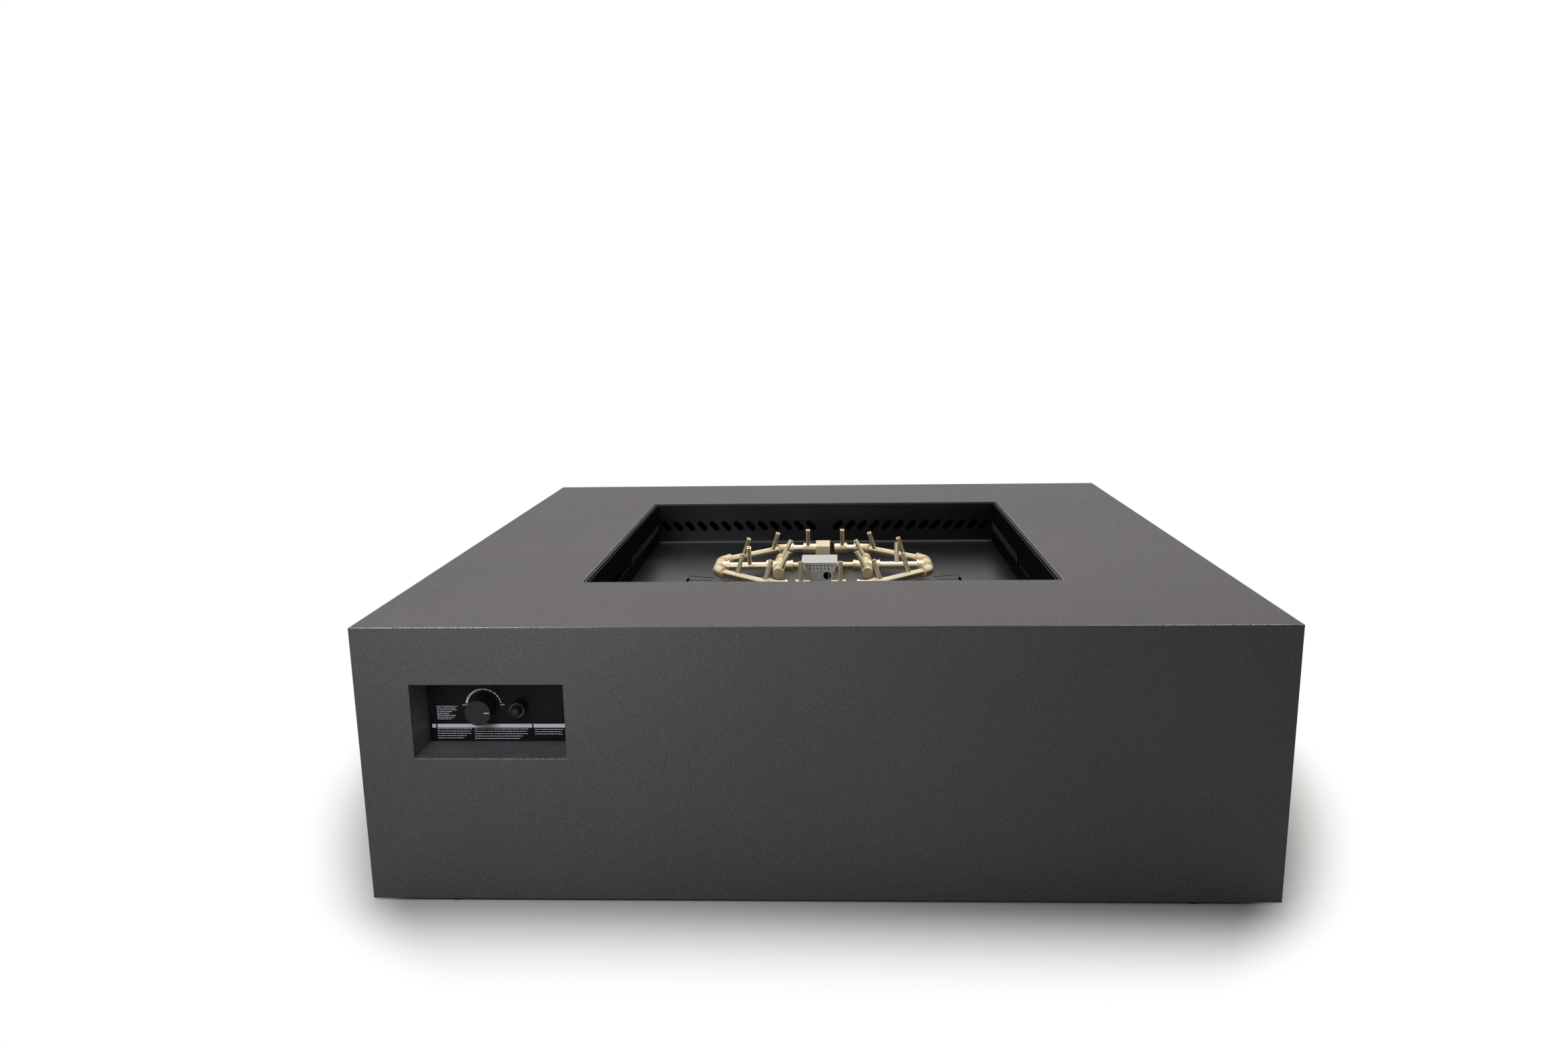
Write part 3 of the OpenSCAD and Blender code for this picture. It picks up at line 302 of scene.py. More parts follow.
class Graph:
    """A node tree in the making. Nodes are added with node()."""

    def __init__(self, tree):
        self.tree = tree

    def node(self, kind, settings=None, inputs=None, output=0):
        """Adds a node, sets it up, feeds its sockets and returns one of its outputs."""
        made = self.tree.nodes.new(kind)
        for key, value in (settings or {}).items():
            setattr(made, key, value)
        for key, value in (inputs or {}).items():
            self.feed(made.inputs[key], value)
        return Channel(self, made.outputs[output])

    def feed(self, socket, value):
        """Links a channel to a socket, or sets the socket's own value."""
        if isinstance(value, Channel):
            self.tree.links.new(value.output, socket)
        else:
            socket.default_value = value

    def math(self, operation, first, second=0.0):
        """A Math node on one or two values."""
        return self.node("ShaderNodeMath", {"operation": operation}, {0: first, 1: second})

    def split(self, vector):
        """The three parts of a vector."""
        first = self.node("ShaderNodeSeparateXYZ", inputs={0: vector})
        return [Channel(self, output) for output in first.output.node.outputs]

    def ramp(self, value, low, high):
        """0 below low, 1 above high and a smooth rise between them."""
        return self.node("ShaderNodeMapRange", {"interpolation_type": "SMOOTHSTEP"}, {
            "Value": value, "From Min": low, "From Max": high})


class Finish(Graph):
    """A material in the making. surface() sets its shader's sockets."""

    def __init__(self, name):
        self.material = bpy.data.materials.new(name)
        self.material.use_nodes = True
        super().__init__(self.material.node_tree)
        self.shader = self.tree.nodes["Principled BSDF"]
        self.place = self.node("ShaderNodeTexCoord", output="Object")

    def noise(self, scale, detail=2.0, roughness=0.5, place=None):
        """Cloudy noise from 0 to 1 with features about 1 / scale metres wide."""
        return self.node("ShaderNodeTexNoise", inputs={
            "Vector": place or self.place, "Scale": scale, "Detail": detail, "Roughness": roughness})

    def cells(self, scale):
        """Distance to the nearest of a scatter of points, about 1 / scale metres apart."""
        return self.node("ShaderNodeTexVoronoi", inputs={"Vector": self.place, "Scale": scale})

    def stretched(self, stretch):
        """The place with each axis drawn out, for brush marks."""
        return self.node("ShaderNodeVectorMath", {"operation": "MULTIPLY"}, {0: self.place, 1: stretch})

    def outward(self):
        """The place without its signs: how far it lies from the middle along each axis."""
        return self.node("ShaderNodeVectorMath", {"operation": "ABSOLUTE"}, {0: self.place})

    def mix(self, factor, first, second):
        """A colour between two others."""
        return self.node("ShaderNodeMix", {"data_type": "RGBA"}, {
            "Factor": factor, 6: self.rgba(first), 7: self.rgba(second)}, output=2)

    def shades(self, factor, value, low, high):
        """A colour between two tones of one colour."""
        return self.mix(factor, toned(value, low), toned(value, high))

    def rgba(self, value):
        """A colour setting with its alpha, or a channel as it is."""
        return value if isinstance(value, Channel) else (*value, 1)

    def bump(self, height, depth, strength=1.0):
        """A normal from a height of 0 to 1 over a depth in metres."""
        return self.node("ShaderNodeBump", inputs={
            "Strength": strength, "Distance": depth, "Height": height})

    def surface(self, **sockets):
        """Feeds the shader's sockets, named with underscores for spaces, and returns the material."""
        for name, value in sockets.items():
            self.feed(self.shader.inputs[name.replace("_", " ")], value)
        return self.material

    def plain(self, value, base, tones, gloss, relief=None, **sockets):
        """A material whose tone, gloss and height all follow one value from 0 to 1."""
        if relief:
            sockets["Normal"] = self.bump(value, *relief)
        return self.surface(
            Base_Color=self.shades(value, base, *tones), Roughness=gloss[0] + gloss[1] * value, **sockets)


def toned(value, by):
    """A colour made lighter or darker."""
    return tuple(min(part * by, 1) for part in value)


def shell_coat(finish, shine=None, inside=None, relief=1):
    """Pebbled powder coat: soft grains in clumps, with painted glints on the highest grains, painted shade
    in their hollows and a slow drift of tone.
    """
    grain = 1 / sizes().grain
    pebbles = finish.noise(grain, 0)
    clumps = finish.noise(0.5 * grain, 2, 0.6)
    drift = finish.noise(2.2, 2)
    # Painted glints: a mask of the highest grains, which are mixed towards the light colour below.
    specks = finish.ramp(pebbles, 0.66, 0.78)
    # Painted shade and highlight: the tone follows the grains' height, darker in their hollows and lighter
    # on their tops, with a slow random drift besides.
    tone = finish.ramp(pebbles * 0.3 + clumps * 0.4 + drift * 0.3, 0.32, 0.68)
    body = finish.shades(tone, look().shell, 0.78, 1.2)
    coat = finish.mix(specks * 0.5, body, look().speck)
    gloss = 0.4 + 0.14 * clumps - 0.16 * specks
    # Painted highlight: a broken near-white, glossier line where an edge catches the lamps' light.
    if shine is not None:
        sheen = shine * finish.ramp(finish.noise(1.1 * grain, 1), 0.36, 0.54)
        coat = finish.mix(sheen, coat, look().worn)
        gloss = gloss - 0.2 * sheen
    if inside is not None:
        coat = finish.mix(inside, coat, toned(look().frame, 0.2))
        gloss = gloss + 0.4 * inside
    return finish.surface(
        Base_Color=coat,
        Roughness=gloss,
        Specular_IOR_Level=0.3,
        Normal=finish.bump((pebbles + clumps * 0.4 - 0.7) * relief, 2.4 * MM))


def top_coat(finish):
    """The same coat, with a painted highlight along the top's outer edge near its corners, and flat at the
    opening's edge.
    """
    across, deep, up = finish.split(finish.outward())
    out = finish.math("MAXIMUM", across, deep)
    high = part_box("top_plate")[1]
    reach = sizes().panel_round
    # Painted highlight along the top's upper outer edge, only towards its corners, where the lamps are
    # reflected.
    edge = finish.ramp(out, high.x - 1.6 * reach, high.x - reach)
    upper = finish.ramp(up, high.z - reach, high.z - 0.6 * reach)
    corner = finish.ramp(finish.math("MINIMUM", across, deep), 0.35 * high.x, 0.75 * high.x)
    points = frame["nodes"]["top_plate"].data.vertices
    opening = min(max(abs(point.co.x), abs(point.co.y)) for point in points)
    inner_relief = finish.ramp(out, opening + MM, opening + 4 * MM)
    outer_relief = 1 - (1 - sizes().panel_relief) * edge
    return shell_coat(finish, edge * upper * corner, relief=inner_relief * outer_relief)


def inner_side(finish):
    """1 on the inner side of the panels' sheet, which has only a dark primer, and 0 on its outer side."""
    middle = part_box("back_panel")[1].y - MM
    across, deep, _ = finish.split(finish.outward())
    return 1 - finish.ramp(finish.math("MAXIMUM", across, deep), middle - 0.2 * MM, middle + 0.2 * MM)


def panel_coat(finish):
    """The same coat on the side and back panels."""
    return shell_coat(finish, inside=inner_side(finish), relief=sizes().panel_relief)


def front_coat(finish):
    """The same coat, with a painted highlight as a shiny broken line on the lower lip of the control
    opening.
    """
    low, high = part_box("control_plate")
    across, _, up = finish.split(finish.place)
    past_left = finish.ramp(across, low.x - MM, low.x)
    past_right = finish.ramp(across, high.x, high.x + MM)
    # Painted highlight: a thin line along the opening's lower lip, between the control plate's left and
    # right ends.
    line = 1 - finish.ramp(finish.math("ABSOLUTE", up - low.z), 0.5 * sizes().lip_wear, sizes().lip_wear)
    sheen = line * past_left * (1 - past_right)
    return shell_coat(finish, sheen, inner_side(finish), sizes().panel_relief)


def pan_paint(finish):
    """Satin black paint with fine orange peel and a little settled dust."""
    peel = finish.noise(420, 2)
    dust = finish.ramp(finish.noise(9, 4, 0.65), 0.45, 0.8)
    grit = finish.noise(1500, 1)
    return finish.surface(
        Base_Color=finish.shades(dust * 0.35 + grit * 0.25, look().pan, 0.7, 1.5),
        Roughness=0.28 + 0.08 * dust + 0.05 * peel,
        Specular_IOR_Level=0.36,
        Normal=finish.bump(peel, 0.05 * MM, 0.35))


def wall_paint(finish):
    """The pan's end walls: the same paint dulled by soot, with painted grey highlights on the slots' edges.
    """
    soot = finish.noise(40, 4, 0.6)
    peel = finish.noise(420, 2)
    across, _, _ = finish.split(finish.node("ShaderNodeNewGeometry", output="Normal"))
    # Painted highlight: faces that don't face along X, such as the slots' edges, go half way to the light
    # shell colour.
    slot_edge_light = 1 - finish.ramp(finish.math("ABSOLUTE", across), 0.4, 0.8)
    wall = finish.shades(soot, look().pan, 0.5, 1)
    return finish.surface(
        Base_Color=finish.mix(slot_edge_light * 0.5, wall, look().shell),
        Roughness=0.5 + 0.2 * soot,
        Specular_IOR_Level=0.004,
        Normal=finish.bump(peel, 0.05 * MM, 0.35))


def frame_coat(finish):
    """Thin black coat over rolled steel."""
    peel = finish.noise(260, 3)
    return finish.plain(peel, look().frame, (0.75, 1.25), (0.42, 0.16), (0.08 * MM, 0.4))


def drawn_brass(finish):
    """Polished brass tube: fine draw marks and a faint drift of tarnish."""
    marks = finish.noise(700, 2, 0.6)
    tarnish = finish.ramp(finish.noise(35, 3, 0.6), 0.5, 0.85)
    return finish.surface(
        Base_Color=finish.mix(tarnish * 0.3, look().brass, look().tarnish),
        Metallic=0.82,
        Roughness=0.2 + 0.12 * marks + 0.1 * tarnish,
        Normal=finish.bump(marks, 0.012 * MM, 0.4))


def turned_brass(finish):
    """Jets turned from brass rod, with fine tool marks."""
    marks = finish.noise(1, 2, 0.6, finish.stretched((500, 500, 2400)))
    tarnish = finish.ramp(finish.noise(60, 3, 0.6), 0.5, 0.85)
    return finish.surface(
        Base_Color=finish.mix(tarnish * 0.3, look().brass, look().tarnish),
        Metallic=0.7,
        Roughness=0.34 + 0.14 * marks,
        Normal=finish.bump(marks, 0.015 * MM, 0.4))


def cast_brass(finish):
    """Brass fittings: cast skin under a polish, with tarnish in the low spots."""
    skin = finish.noise(330, 3, 0.55)
    tarnish = finish.ramp(finish.noise(60, 3, 0.6), 0.45, 0.8)
    return finish.surface(
        Base_Color=finish.mix(0.1 + tarnish * 0.5, look().brass, look().tarnish),
        Metallic=0.62,
        Roughness=0.32 + 0.16 * skin + 0.08 * tarnish,
        Normal=finish.bump(skin, 0.12 * MM, 0.5))


def brushed_steel(finish):
    """Stainless sheet brushed along its width."""
    brush = finish.noise(1, 3, 0.7, finish.stretched((45, 2600, 2600)))
    smudge = finish.ramp(finish.noise(55, 2), 0.4, 0.8)
    return finish.surface(
        Base_Color=finish.shades(brush, look().steel, 0.8, 1.1),
        Metallic=0.5,
        Roughness=0.5 + 0.12 * brush + 0.06 * smudge,
        Normal=finish.bump(brush, 0.02 * MM, 0.35))


def zinc_plating(finish):
    """Bright zinc with a faint spangle."""
    spangle = finish.cells(260)
    cloud = finish.noise(90, 3)
    return finish.surface(
        Base_Color=finish.shades(cloud, look().plating, 0.75, 1.1),
        Metallic=1.0,
        Roughness=0.26 + 0.2 * spangle,
        Normal=finish.bump(cloud, 0.02 * MM, 0.3))


def recess_coat(finish):
    """Smooth dark coat of the recess, with fine dust on its floor."""
    peel = finish.noise(700, 2)
    dust = finish.ramp(finish.noise(28, 4, 0.6), 0.4, 0.75)
    return finish.surface(
        Base_Color=finish.shades(dust * 0.5 + peel * 0.3, look().recess, 0.75, 1.25),
        Roughness=0.42 + 0.14 * peel,
        Normal=finish.bump(peel, 0.04 * MM, 0.4))


def matt_paint(finish):
    """Matt black paint of the control plate, the pan's weld tacks and the igniter box's back."""
    peel = finish.noise(900, 2)
    return finish.plain(
        peel, look().plate, (0.7, 1.4), (0.46, 0.12), (0.02 * MM, 0.3), Specular_IOR_Level=0.15)


def moulded_plastic(finish):
    """Knob plastic with a fine spark-eroded grain."""
    grain = finish.noise(2200, 2)
    rub = finish.ramp(finish.noise(60, 3), 0.45, 0.8)
    return finish.surface(
        Base_Color=finish.shades(grain * 0.5 + rub * 0.3, look().knob, 0.8, 1.3),
        Roughness=0.44 + 0.12 * grain - 0.06 * rub,
        Specular_IOR_Level=0.32,
        Normal=finish.bump(grain, 0.02 * MM, 0.4))


def gloss_plastic(finish):
    """Glossy cap plastic with faint handling marks."""
    marks = finish.ramp(finish.noise(140, 3), 0.45, 0.8)
    return finish.plain(marks, look().cap, (1, 1.6), (0.16, 0.14), (0.01 * MM, 0.2))


def white_ink(finish):
    """Screen-printed ink, thin in places."""
    thin = finish.ramp(finish.noise(1300, 2, 0.6), 0.55, 0.85)
    return finish.surface(
        Base_Color=finish.shades(thin * 0.35, look().ink, 1, 0.45),
        Roughness=0.5 + 0.1 * thin)


def foot_rubber(finish):
    """Moulded rubber with scuffs."""
    scuff = finish.ramp(finish.noise(180, 4, 0.65), 0.5, 0.8)
    return finish.plain(scuff, look().rubber, (1, 2), (0.72, 0.15), (0.1 * MM, 0.4))


def glazed_ceramic(finish):
    """Glazed ceramic with fine brown flecks."""
    flecks = finish.ramp(finish.noise(600, 2), 0.66, 0.76)
    return finish.surface(
        Base_Color=finish.mix(flecks * 0.4, look().ceramic, look().tarnish),
        Roughness=0.18 + 0.1 * flecks,
        Coat_Weight=0.4)


def silicone_sleeve(finish):
    """Silicone sleeve of the spark lead."""
    cloud = finish.noise(300, 3)
    return finish.plain(cloud, look().lead, (0.8, 1.2), (0.5, 0.12))


def copper_tube(finish):
    """Copper with a brown bloom."""
    bloom = finish.noise(120, 4, 0.6)
    return finish.plain(bloom, look().copper, (0.6, 1), (0.3, 0.2), Metallic=1.0)


def battery_wrap(finish):
    """Dark shrink wrap with a metal-toned band."""
    _, along, _ = finish.split(finish.place)
    low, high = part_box("igniter_battery")
    band = finish.ramp(along, low.y + 0.6 * (high.y - low.y), low.y + 0.62 * (high.y - low.y))
    return finish.surface(
        Base_Color=finish.mix(band, look().wrap, look().copper),
        Roughness=0.3 + 0.1 * finish.noise(300, 2))


def finish_of(make):
    """The material of a finish, made the first time it is asked for."""
    name = make.__name__ + "_finish"
    return bpy.data.materials.get(name) or make(Finish(name))


def mark_edges(piece, direction, level):
    """Marks only the hard edges that lie further along a direction than a level, for a bevel to round."""
    tree = bpy.data.node_groups.new("mark_edges_" + piece.name, "GeometryNodeTree")
    for way in ("INPUT", "OUTPUT"):
        tree.interface.new_socket("Mesh", in_out=way, socket_type="NodeSocketGeometry")
    graph = Graph(tree)
    along = graph.node("ShaderNodeVectorMath", {"operation": "DOT_PRODUCT"}, {
        0: graph.node("GeometryNodeInputPosition"), 1: direction}, output="Value")
    hard = graph.math("GREATER_THAN", graph.node("GeometryNodeInputMeshEdgeAngle"), HARD_EDGE)
    marked = graph.node("GeometryNodeStoreNamedAttribute", {"data_type": "FLOAT", "domain": "EDGE"}, {
        "Geometry": graph.node("NodeGroupInput"),
        "Name": "bevel_weight_edge",
        "Value": graph.math("GREATER_THAN", along, level) * hard})
    graph.feed(tree.nodes.new("NodeGroupOutput").inputs[0], marked)
    piece.modifiers.new("mark_edges", "NODES").node_group = tree


def join_points(piece, name):
    """Joins a piece's points that lie on each other."""
    piece.modifiers.new(name, "WELD").merge_threshold = SAME_POINT


def round_edges(piece, width, segments=2, beyond=None):
    """Rounds a piece's hard edges, or those beyond a level along a direction. Flat faces stay flat."""
    join_points(piece, "join_corners")
    flatten = piece.modifiers.new("join_flats", "DECIMATE")
    flatten.decimate_type = "DISSOLVE"
    flatten.angle_limit = FLAT_ANGLE
    if beyond:
        mark_edges(piece, *beyond)
    bevel = piece.modifiers.new("round_edges", "BEVEL")
    bevel.width = width
    bevel.segments = segments
    bevel.limit_method = "WEIGHT" if beyond else "ANGLE"
    bevel.angle_limit = HARD_EDGE
    bevel.use_clamp_overlap = True
    join_points(piece, "join_slivers")
    piece.modifiers.new("even_shading", "WEIGHTED_NORMAL").keep_sharp = True


def dress(names, make, width=0.0, segments=2, beyond=None):
    """Gives CAD nodes a finish, and rounded edges where a width is given."""
    for name in names:
        node = frame["nodes"][name]
        for place in node.material_slots:
            place.material = finish_of(make)
        if width:
            round_edges(node, width, segments, beyond)


def add_object(name, data):
    """Adds an object to the scene."""
    made = bpy.data.objects.new(name, data)
    bpy.context.scene.collection.objects.link(made)
    return made


def add_piece(name, mesh_or_builder, make, body):
    """Adds a mesh piece that rides on a body and has the given finish."""
    mesh = mesh_or_builder
    if isinstance(mesh, bmesh.types.BMesh):
        mesh = bpy.data.meshes.new(name)
        mesh_or_builder.to_mesh(mesh)
        mesh_or_builder.free()
    piece = add_object(name, mesh)
    mesh.materials.clear()
    mesh.materials.append(finish_of(make))
    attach(piece, body)
    return piece


def solids_of(name):
    """Lowest and highest corner of each separate solid in a CAD node."""
    work = bmesh.new()
    work.from_mesh(frame["nodes"][name].data)
    bmesh.ops.remove_doubles(work, verts=work.verts, dist=SAME_POINT)
    left = set(work.verts)
    boxes = []
    for seed in work.verts:
        if seed not in left:
            continue
        left.discard(seed)
        reach = [seed]
        low = high = seed.co
        while reach:
            corner = reach.pop()
            low = Vector(map(min, low, corner.co))
            high = Vector(map(max, high, corner.co))
            near = [edge.other_vert(corner) for edge in corner.link_edges]
            fresh = [vert for vert in near if vert in left]
            left.difference_update(fresh)
            reach.extend(fresh)
        boxes.append((low, high))
    work.free()
    return boxes


def skin_rings(work, rings, closed=False):
    """Joins rings with equal numbers of points into a smooth skin and returns its rows of vertices."""
    rows = [[work.verts.new(point) for point in ring] for ring in rings]
    pairs = list(zip(rows, rows[1:]))
    if closed:
        pairs.append((rows[-1], rows[0]))
    for row, after in pairs:
        for i in range(len(row)):
            j = (i + 1) % len(row)
            work.faces.new((row[i], row[j], after[j], after[i])).smooth = True
    return rows


def cap_ends(work, rows):
    """Closes the two ends of a skin and turns its faces outward."""
    work.faces.new(rows[0])
    work.faces.new(rows[-1])
    bmesh.ops.recalc_face_normals(work, faces=work.faces)


def pipe_ring(centre, axis, place, reaches):
    """A ring of points round an axis at a place along it, with one point for each reach."""
    first, second = (i for i in range(3) if i != axis)
    ring = []
    for i, reach in enumerate(reaches):
        turn = 2 * math.pi * i / len(reaches)
        point = Vector(centre)
        point[axis] = place
        point[first] += reach * math.cos(turn)
        point[second] += reach * math.sin(turn)
        ring.append(point)
    return ring


def threaded_pipe(work, low, high, bore):
    """A nipple with a pipe thread from end to end, and its bore."""
    around = 40
    rows_per_turn = 6
    size = high - low
    axis = max(range(3), key=lambda i: min(abs(size[i] - size[k]) for k in range(3) if k != i))
    centre = (low + high) / 2
    radius = size[0 if axis else 1] / 2
    pitch = sizes().thread_pitch
    depth = sizes().thread_depth
    steps = math.ceil(size[axis] / pitch * rows_per_turn)
    rings = []
    for row in range(steps + 1):
        along = size[axis] * row / steps
        chamfer = max(0.0, depth - min(along, size[axis] - along))
        reaches = []
        for i in range(around):
            crest = abs((along / pitch - i / around) % 1 - 0.5) * 2
            reaches.append(radius - depth * (1 - crest) - chamfer)
        rings.append(pipe_ring(centre, axis, low[axis] + along, reaches))
    for end in (high[axis], low[axis]):
        rings.append(pipe_ring(centre, axis, end, [bore] * around))
    skin_rings(work, rings, closed=True)


def pressed_plate(work, low, high, border):
    """A thin upright plate that faces the front, with a shallow field pressed into it inside a border."""
    deep = 0.5 * (high.y - low.y)
    rings = []
    for y, inset in ((high.y, 0), (low.y, 0), (low.y, border), (low.y + deep, border + deep)):
        left, right = low.x + inset, high.x - inset
        bottom, top = low.z + inset, high.z - inset
        corners = ((left, bottom), (right, bottom), (right, top), (left, top))
        rings.append([Vector((x, y, z)) for x, z in corners])
    cap_ends(work, skin_rings(work, rings))


def wound_spring(work, low, high, wire, turns):
    """A coil spring along Y that fills a box, with its two end turns wound close."""
    around = 10
    steps_per_turn = 24
    centre = (low + high) / 2
    coil = (high.x - low.x) / 2 - wire
    close = 2 * wire
    pitch = (high.y - low.y - 2 * wire - 2 * close) / (turns - 2)
    rings = []
    for step in range(turns * steps_per_turn + 1):
        turn = step / steps_per_turn
        along = close * (min(turn, 1) + max(turn - turns + 1, 0)) + pitch * min(max(turn - 1, 0), turns - 2)
        angle = 2 * math.pi * turn
        ring = []
        for i in range(around):
            side = 2 * math.pi * i / around
            reach = coil + wire * math.cos(side)
            ring.append(Vector((
                centre.x + reach * math.cos(angle),
                low.y + wire + along + wire * math.sin(side),
                centre.z + reach * math.sin(angle))))
        rings.append(ring)
    cap_ends(work, skin_rings(work, rings))


def weld_tack(work, centre, radius, height):
    """A low weld tack with rippled rings."""
    around = 20
    levels = 7
    rings = []
    for level in range(levels):
        rise = math.pi / 2 * level / levels
        ripple = 1 + 0.06 * math.sin(12 * rise)
        reach = radius * ripple * math.cos(rise)
        rings.append(pipe_ring(centre, 2, centre.z + height * math.sin(rise), [reach] * around))
    rows = skin_rings(work, rings)
    work.faces.new(rows[0][::-1])
    last = rows[-1]
    tip = work.verts.new(centre + Vector((0, 0, height)))
    for i in range(around):
        work.faces.new((last[i], last[(i + 1) % around], tip)).smooth = True


def plate_point(x, z):
    """A point on the ink's level over the control plate's face."""
    face_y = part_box("control_plate")[0].y
    return Vector((x, face_y - sizes().ink_lift, z))


def ink_shape(work, outline):
    """A flat inked shape from an outline of x and z, turned to the front."""
    face = work.faces.new([work.verts.new(plate_point(x, z)) for x, z in outline])
    face.normal_update()
    if face.normal.y > 0:
        face.normal_flip()


def add_ink(name, mesh_or_builder):
    """Adds inked shapes to the control plate, with a thickness that reaches down to it."""
    ink = add_piece(name, mesh_or_builder, white_ink, "table")
    join_points(ink, "join_corners")
    film = ink.modifiers.new("ink_film", "SOLIDIFY")
    film.thickness = sizes().ink_lift
    film.offset = -1


def ink_arc(work, centre, start, end):
    """A stretch of the dial's arc, in degrees, which tapers from the high end to the off end."""
    steps = max(2, round(abs(end - start) / 3))
    outer = []
    inner = []
    for i in range(steps + 1):
        angle = start + (end - start) * i / steps
        width = sizes().arc_thin + (sizes().arc_wide - sizes().arc_thin) * angle / 180
        turn = math.radians(angle)
        for side, reach in ((outer, width / 2), (inner, -width / 2)):
            radius = sizes().arc_radius + reach
            side.append((centre[0] + radius * math.cos(turn), centre[1] + radius * math.sin(turn)))
    for i in range(steps):
        ink_shape(work, (outer[i], outer[i + 1], inner[i + 1], inner[i]))


def ink_word(word, x, z):
    """A word in plain capitals, centred on x and standing on z."""
    text = bpy.data.curves.new("dial_word_" + word.lower(), "FONT")
    text.body = word
    text.align_x = "CENTER"
    text.size = sizes().letter / CAPITAL_SHARE
    text.offset = 0.02 * sizes().letter
    maker = add_object(text.name, text)
    maker.matrix_world = Matrix.Translation(plate_point(x, z)) @ Matrix.Rotation(math.pi / 2, 4, "X")
    bpy.context.view_layer.update()
    mesh = bpy.data.meshes.new_from_object(maker.evaluated_get(bpy.context.evaluated_depsgraph_get()))
    mesh.transform(maker.matrix_world)
    bpy.data.objects.remove(maker)
    return mesh


class Step:
    """What every step has in common: run() does its work."""

    def execute(self, context):
        """Does the step's work when Blender calls it."""
        self.run()
        return {"FINISHED"}


class FIREPIT_OT_coat_shell(Step, bpy.types.Operator):
    """Coats the table top and the four panels"""

    bl_idname = "fire_pit.coat_shell"
    bl_label = "Coat the shell"

    def run(self):
        dress(["top_plate"], top_coat, sizes().panel_round, 3, (UP, cad_high.z - FACE_REACH))
        dress(["back_panel", "left_panel", "right_panel"], panel_coat, sizes().sheet_round)
        dress(["front_panel"], front_coat, sizes().sheet_round)


class FIREPIT_OT_coat_frame(Step, bpy.types.Operator):
    """Coats the inner frame and finishes the feet"""

    bl_idname = "fire_pit.coat_frame"
    bl_label = "Coat the frame"

    def run(self):
        dress(["base_rails", "corner_posts", "pan_rails"], frame_coat, sizes().sheet_round)
        dress(["rubber_feet"], foot_rubber, sizes().fitting_round)


class FIREPIT_OT_paint_pan(Step, bpy.types.Operator):
    """Paints the fire pan and the collar round the opening"""

    bl_idname = "fire_pit.paint_pan"
    bl_label = "Paint the fire pan"

    def run(self):
        dress(["opening_collar", "pan_tray"], pan_paint, sizes().sheet_round)
        dress(["pan_left_wall", "pan_right_wall"], wall_paint, sizes().sheet_round)


class FIREPIT_OT_tack_pan(Step, bpy.types.Operator):
    """Adds the weld tacks where the pan's end walls meet its floor"""

    bl_idname = "fire_pit.tack_pan"
    bl_label = "Tack the pan's corners"

    def run(self):
        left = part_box("pan_left_wall")
        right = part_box("pan_right_wall")
        tray_low, tray_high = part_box("pan_tray")
        wall = left[1].x - left[0].x
        floor = tray_low.z + wall
        radius = sizes().tack / 2
        near, far = TACK_PLACES
        places = (tray_low.y + near, tray_high.y - near, tray_high.y - far, tray_low.y + far)
        work = bmesh.new()
        for x in (left[1].x, right[0].x):
            for y in places:
                weld_tack(work, Vector((x, y, floor)), radius, 0.5 * radius)
        add_piece("pan_weld_tacks", work, matt_paint, "table")


class FIREPIT_OT_polish_burner(Step, bpy.types.Operator):
    """Polishes the burner's pipes, fittings and jets"""

    bl_idname = "fire_pit.polish_burner"
    bl_label = "Polish the burner"

    def run(self):
        dress(["burner_hub"], cast_brass, 2 * sizes().fitting_round, 3)
        fittings = ["arm_crosses", "branch_caps", "side_tees", "side_elbows", "corner_elbows", "end_caps"]
        dress(fittings, cast_brass, sizes().fitting_round, 3)
        dress(["arm_pipes", "diagonal_pipes", "end_pipes"], drawn_brass)
        dress(["burner_jets"], turned_brass)


class FIREPIT_OT_cut_threads(Step, bpy.types.Operator):
    """Replaces the plain nipples with threaded ones"""

    bl_idname = "fire_pit.cut_threads"
    bl_label = "Cut the nipples' threads"

    def run(self):
        work = bmesh.new()
        for low, high in solids_of("burner_nipples"):
            threaded_pipe(work, low, high, NIPPLE_BORE)
        nipples = add_piece("threaded_nipples", work, drawn_brass, "table")
        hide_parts("burner_nipples")


class FIREPIT_OT_brush_igniter_box(Step, bpy.types.Operator):
    """Finishes the igniter box, its hood, electrode and thermocouple"""

    bl_idname = "fire_pit.brush_igniter_box"
    bl_label = "Brush the igniter box"

    def run(self):
        low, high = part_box("igniter_box")
        hood_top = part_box("igniter_hood")[1].z
        bend = sizes().bend_round
        dress(["igniter_hood"], brushed_steel, bend, 4, (UP, hood_top - FACE_REACH))
        dress(["igniter_box"], brushed_steel, bend, 4, (FORWARD, -low.y - FACE_REACH))
        self.close_back(low, high, hood_top - high.z)
        dress(["electrode_insulator"], glazed_ceramic)
        dress(["electrode_rod"], brushed_steel)
        dress(["thermocouple", "thermocouple_lead"], copper_tube)
        dress(["spark_lead"], silicone_sleeve)
        dress(["lead_clips"], zinc_plating)

    def close_back(self, low, high, sheet):
        """A thin black plate between the box's side walls, which keeps its inside dark."""
        gap = 0.1 * MM
        border = 4 * MM
        edge_round = 0.3 * MM
        inner_low = Vector((low.x + sheet + gap, high.y - sheet, low.z + gap))
        inner_high = Vector((high.x - sheet - gap, high.y, high.z - gap))
        work = bmesh.new()
        pressed_plate(work, inner_low, inner_high, border)
        plate = add_piece("igniter_box_back", work, matt_paint, "table")
        round_edges(plate, edge_round)


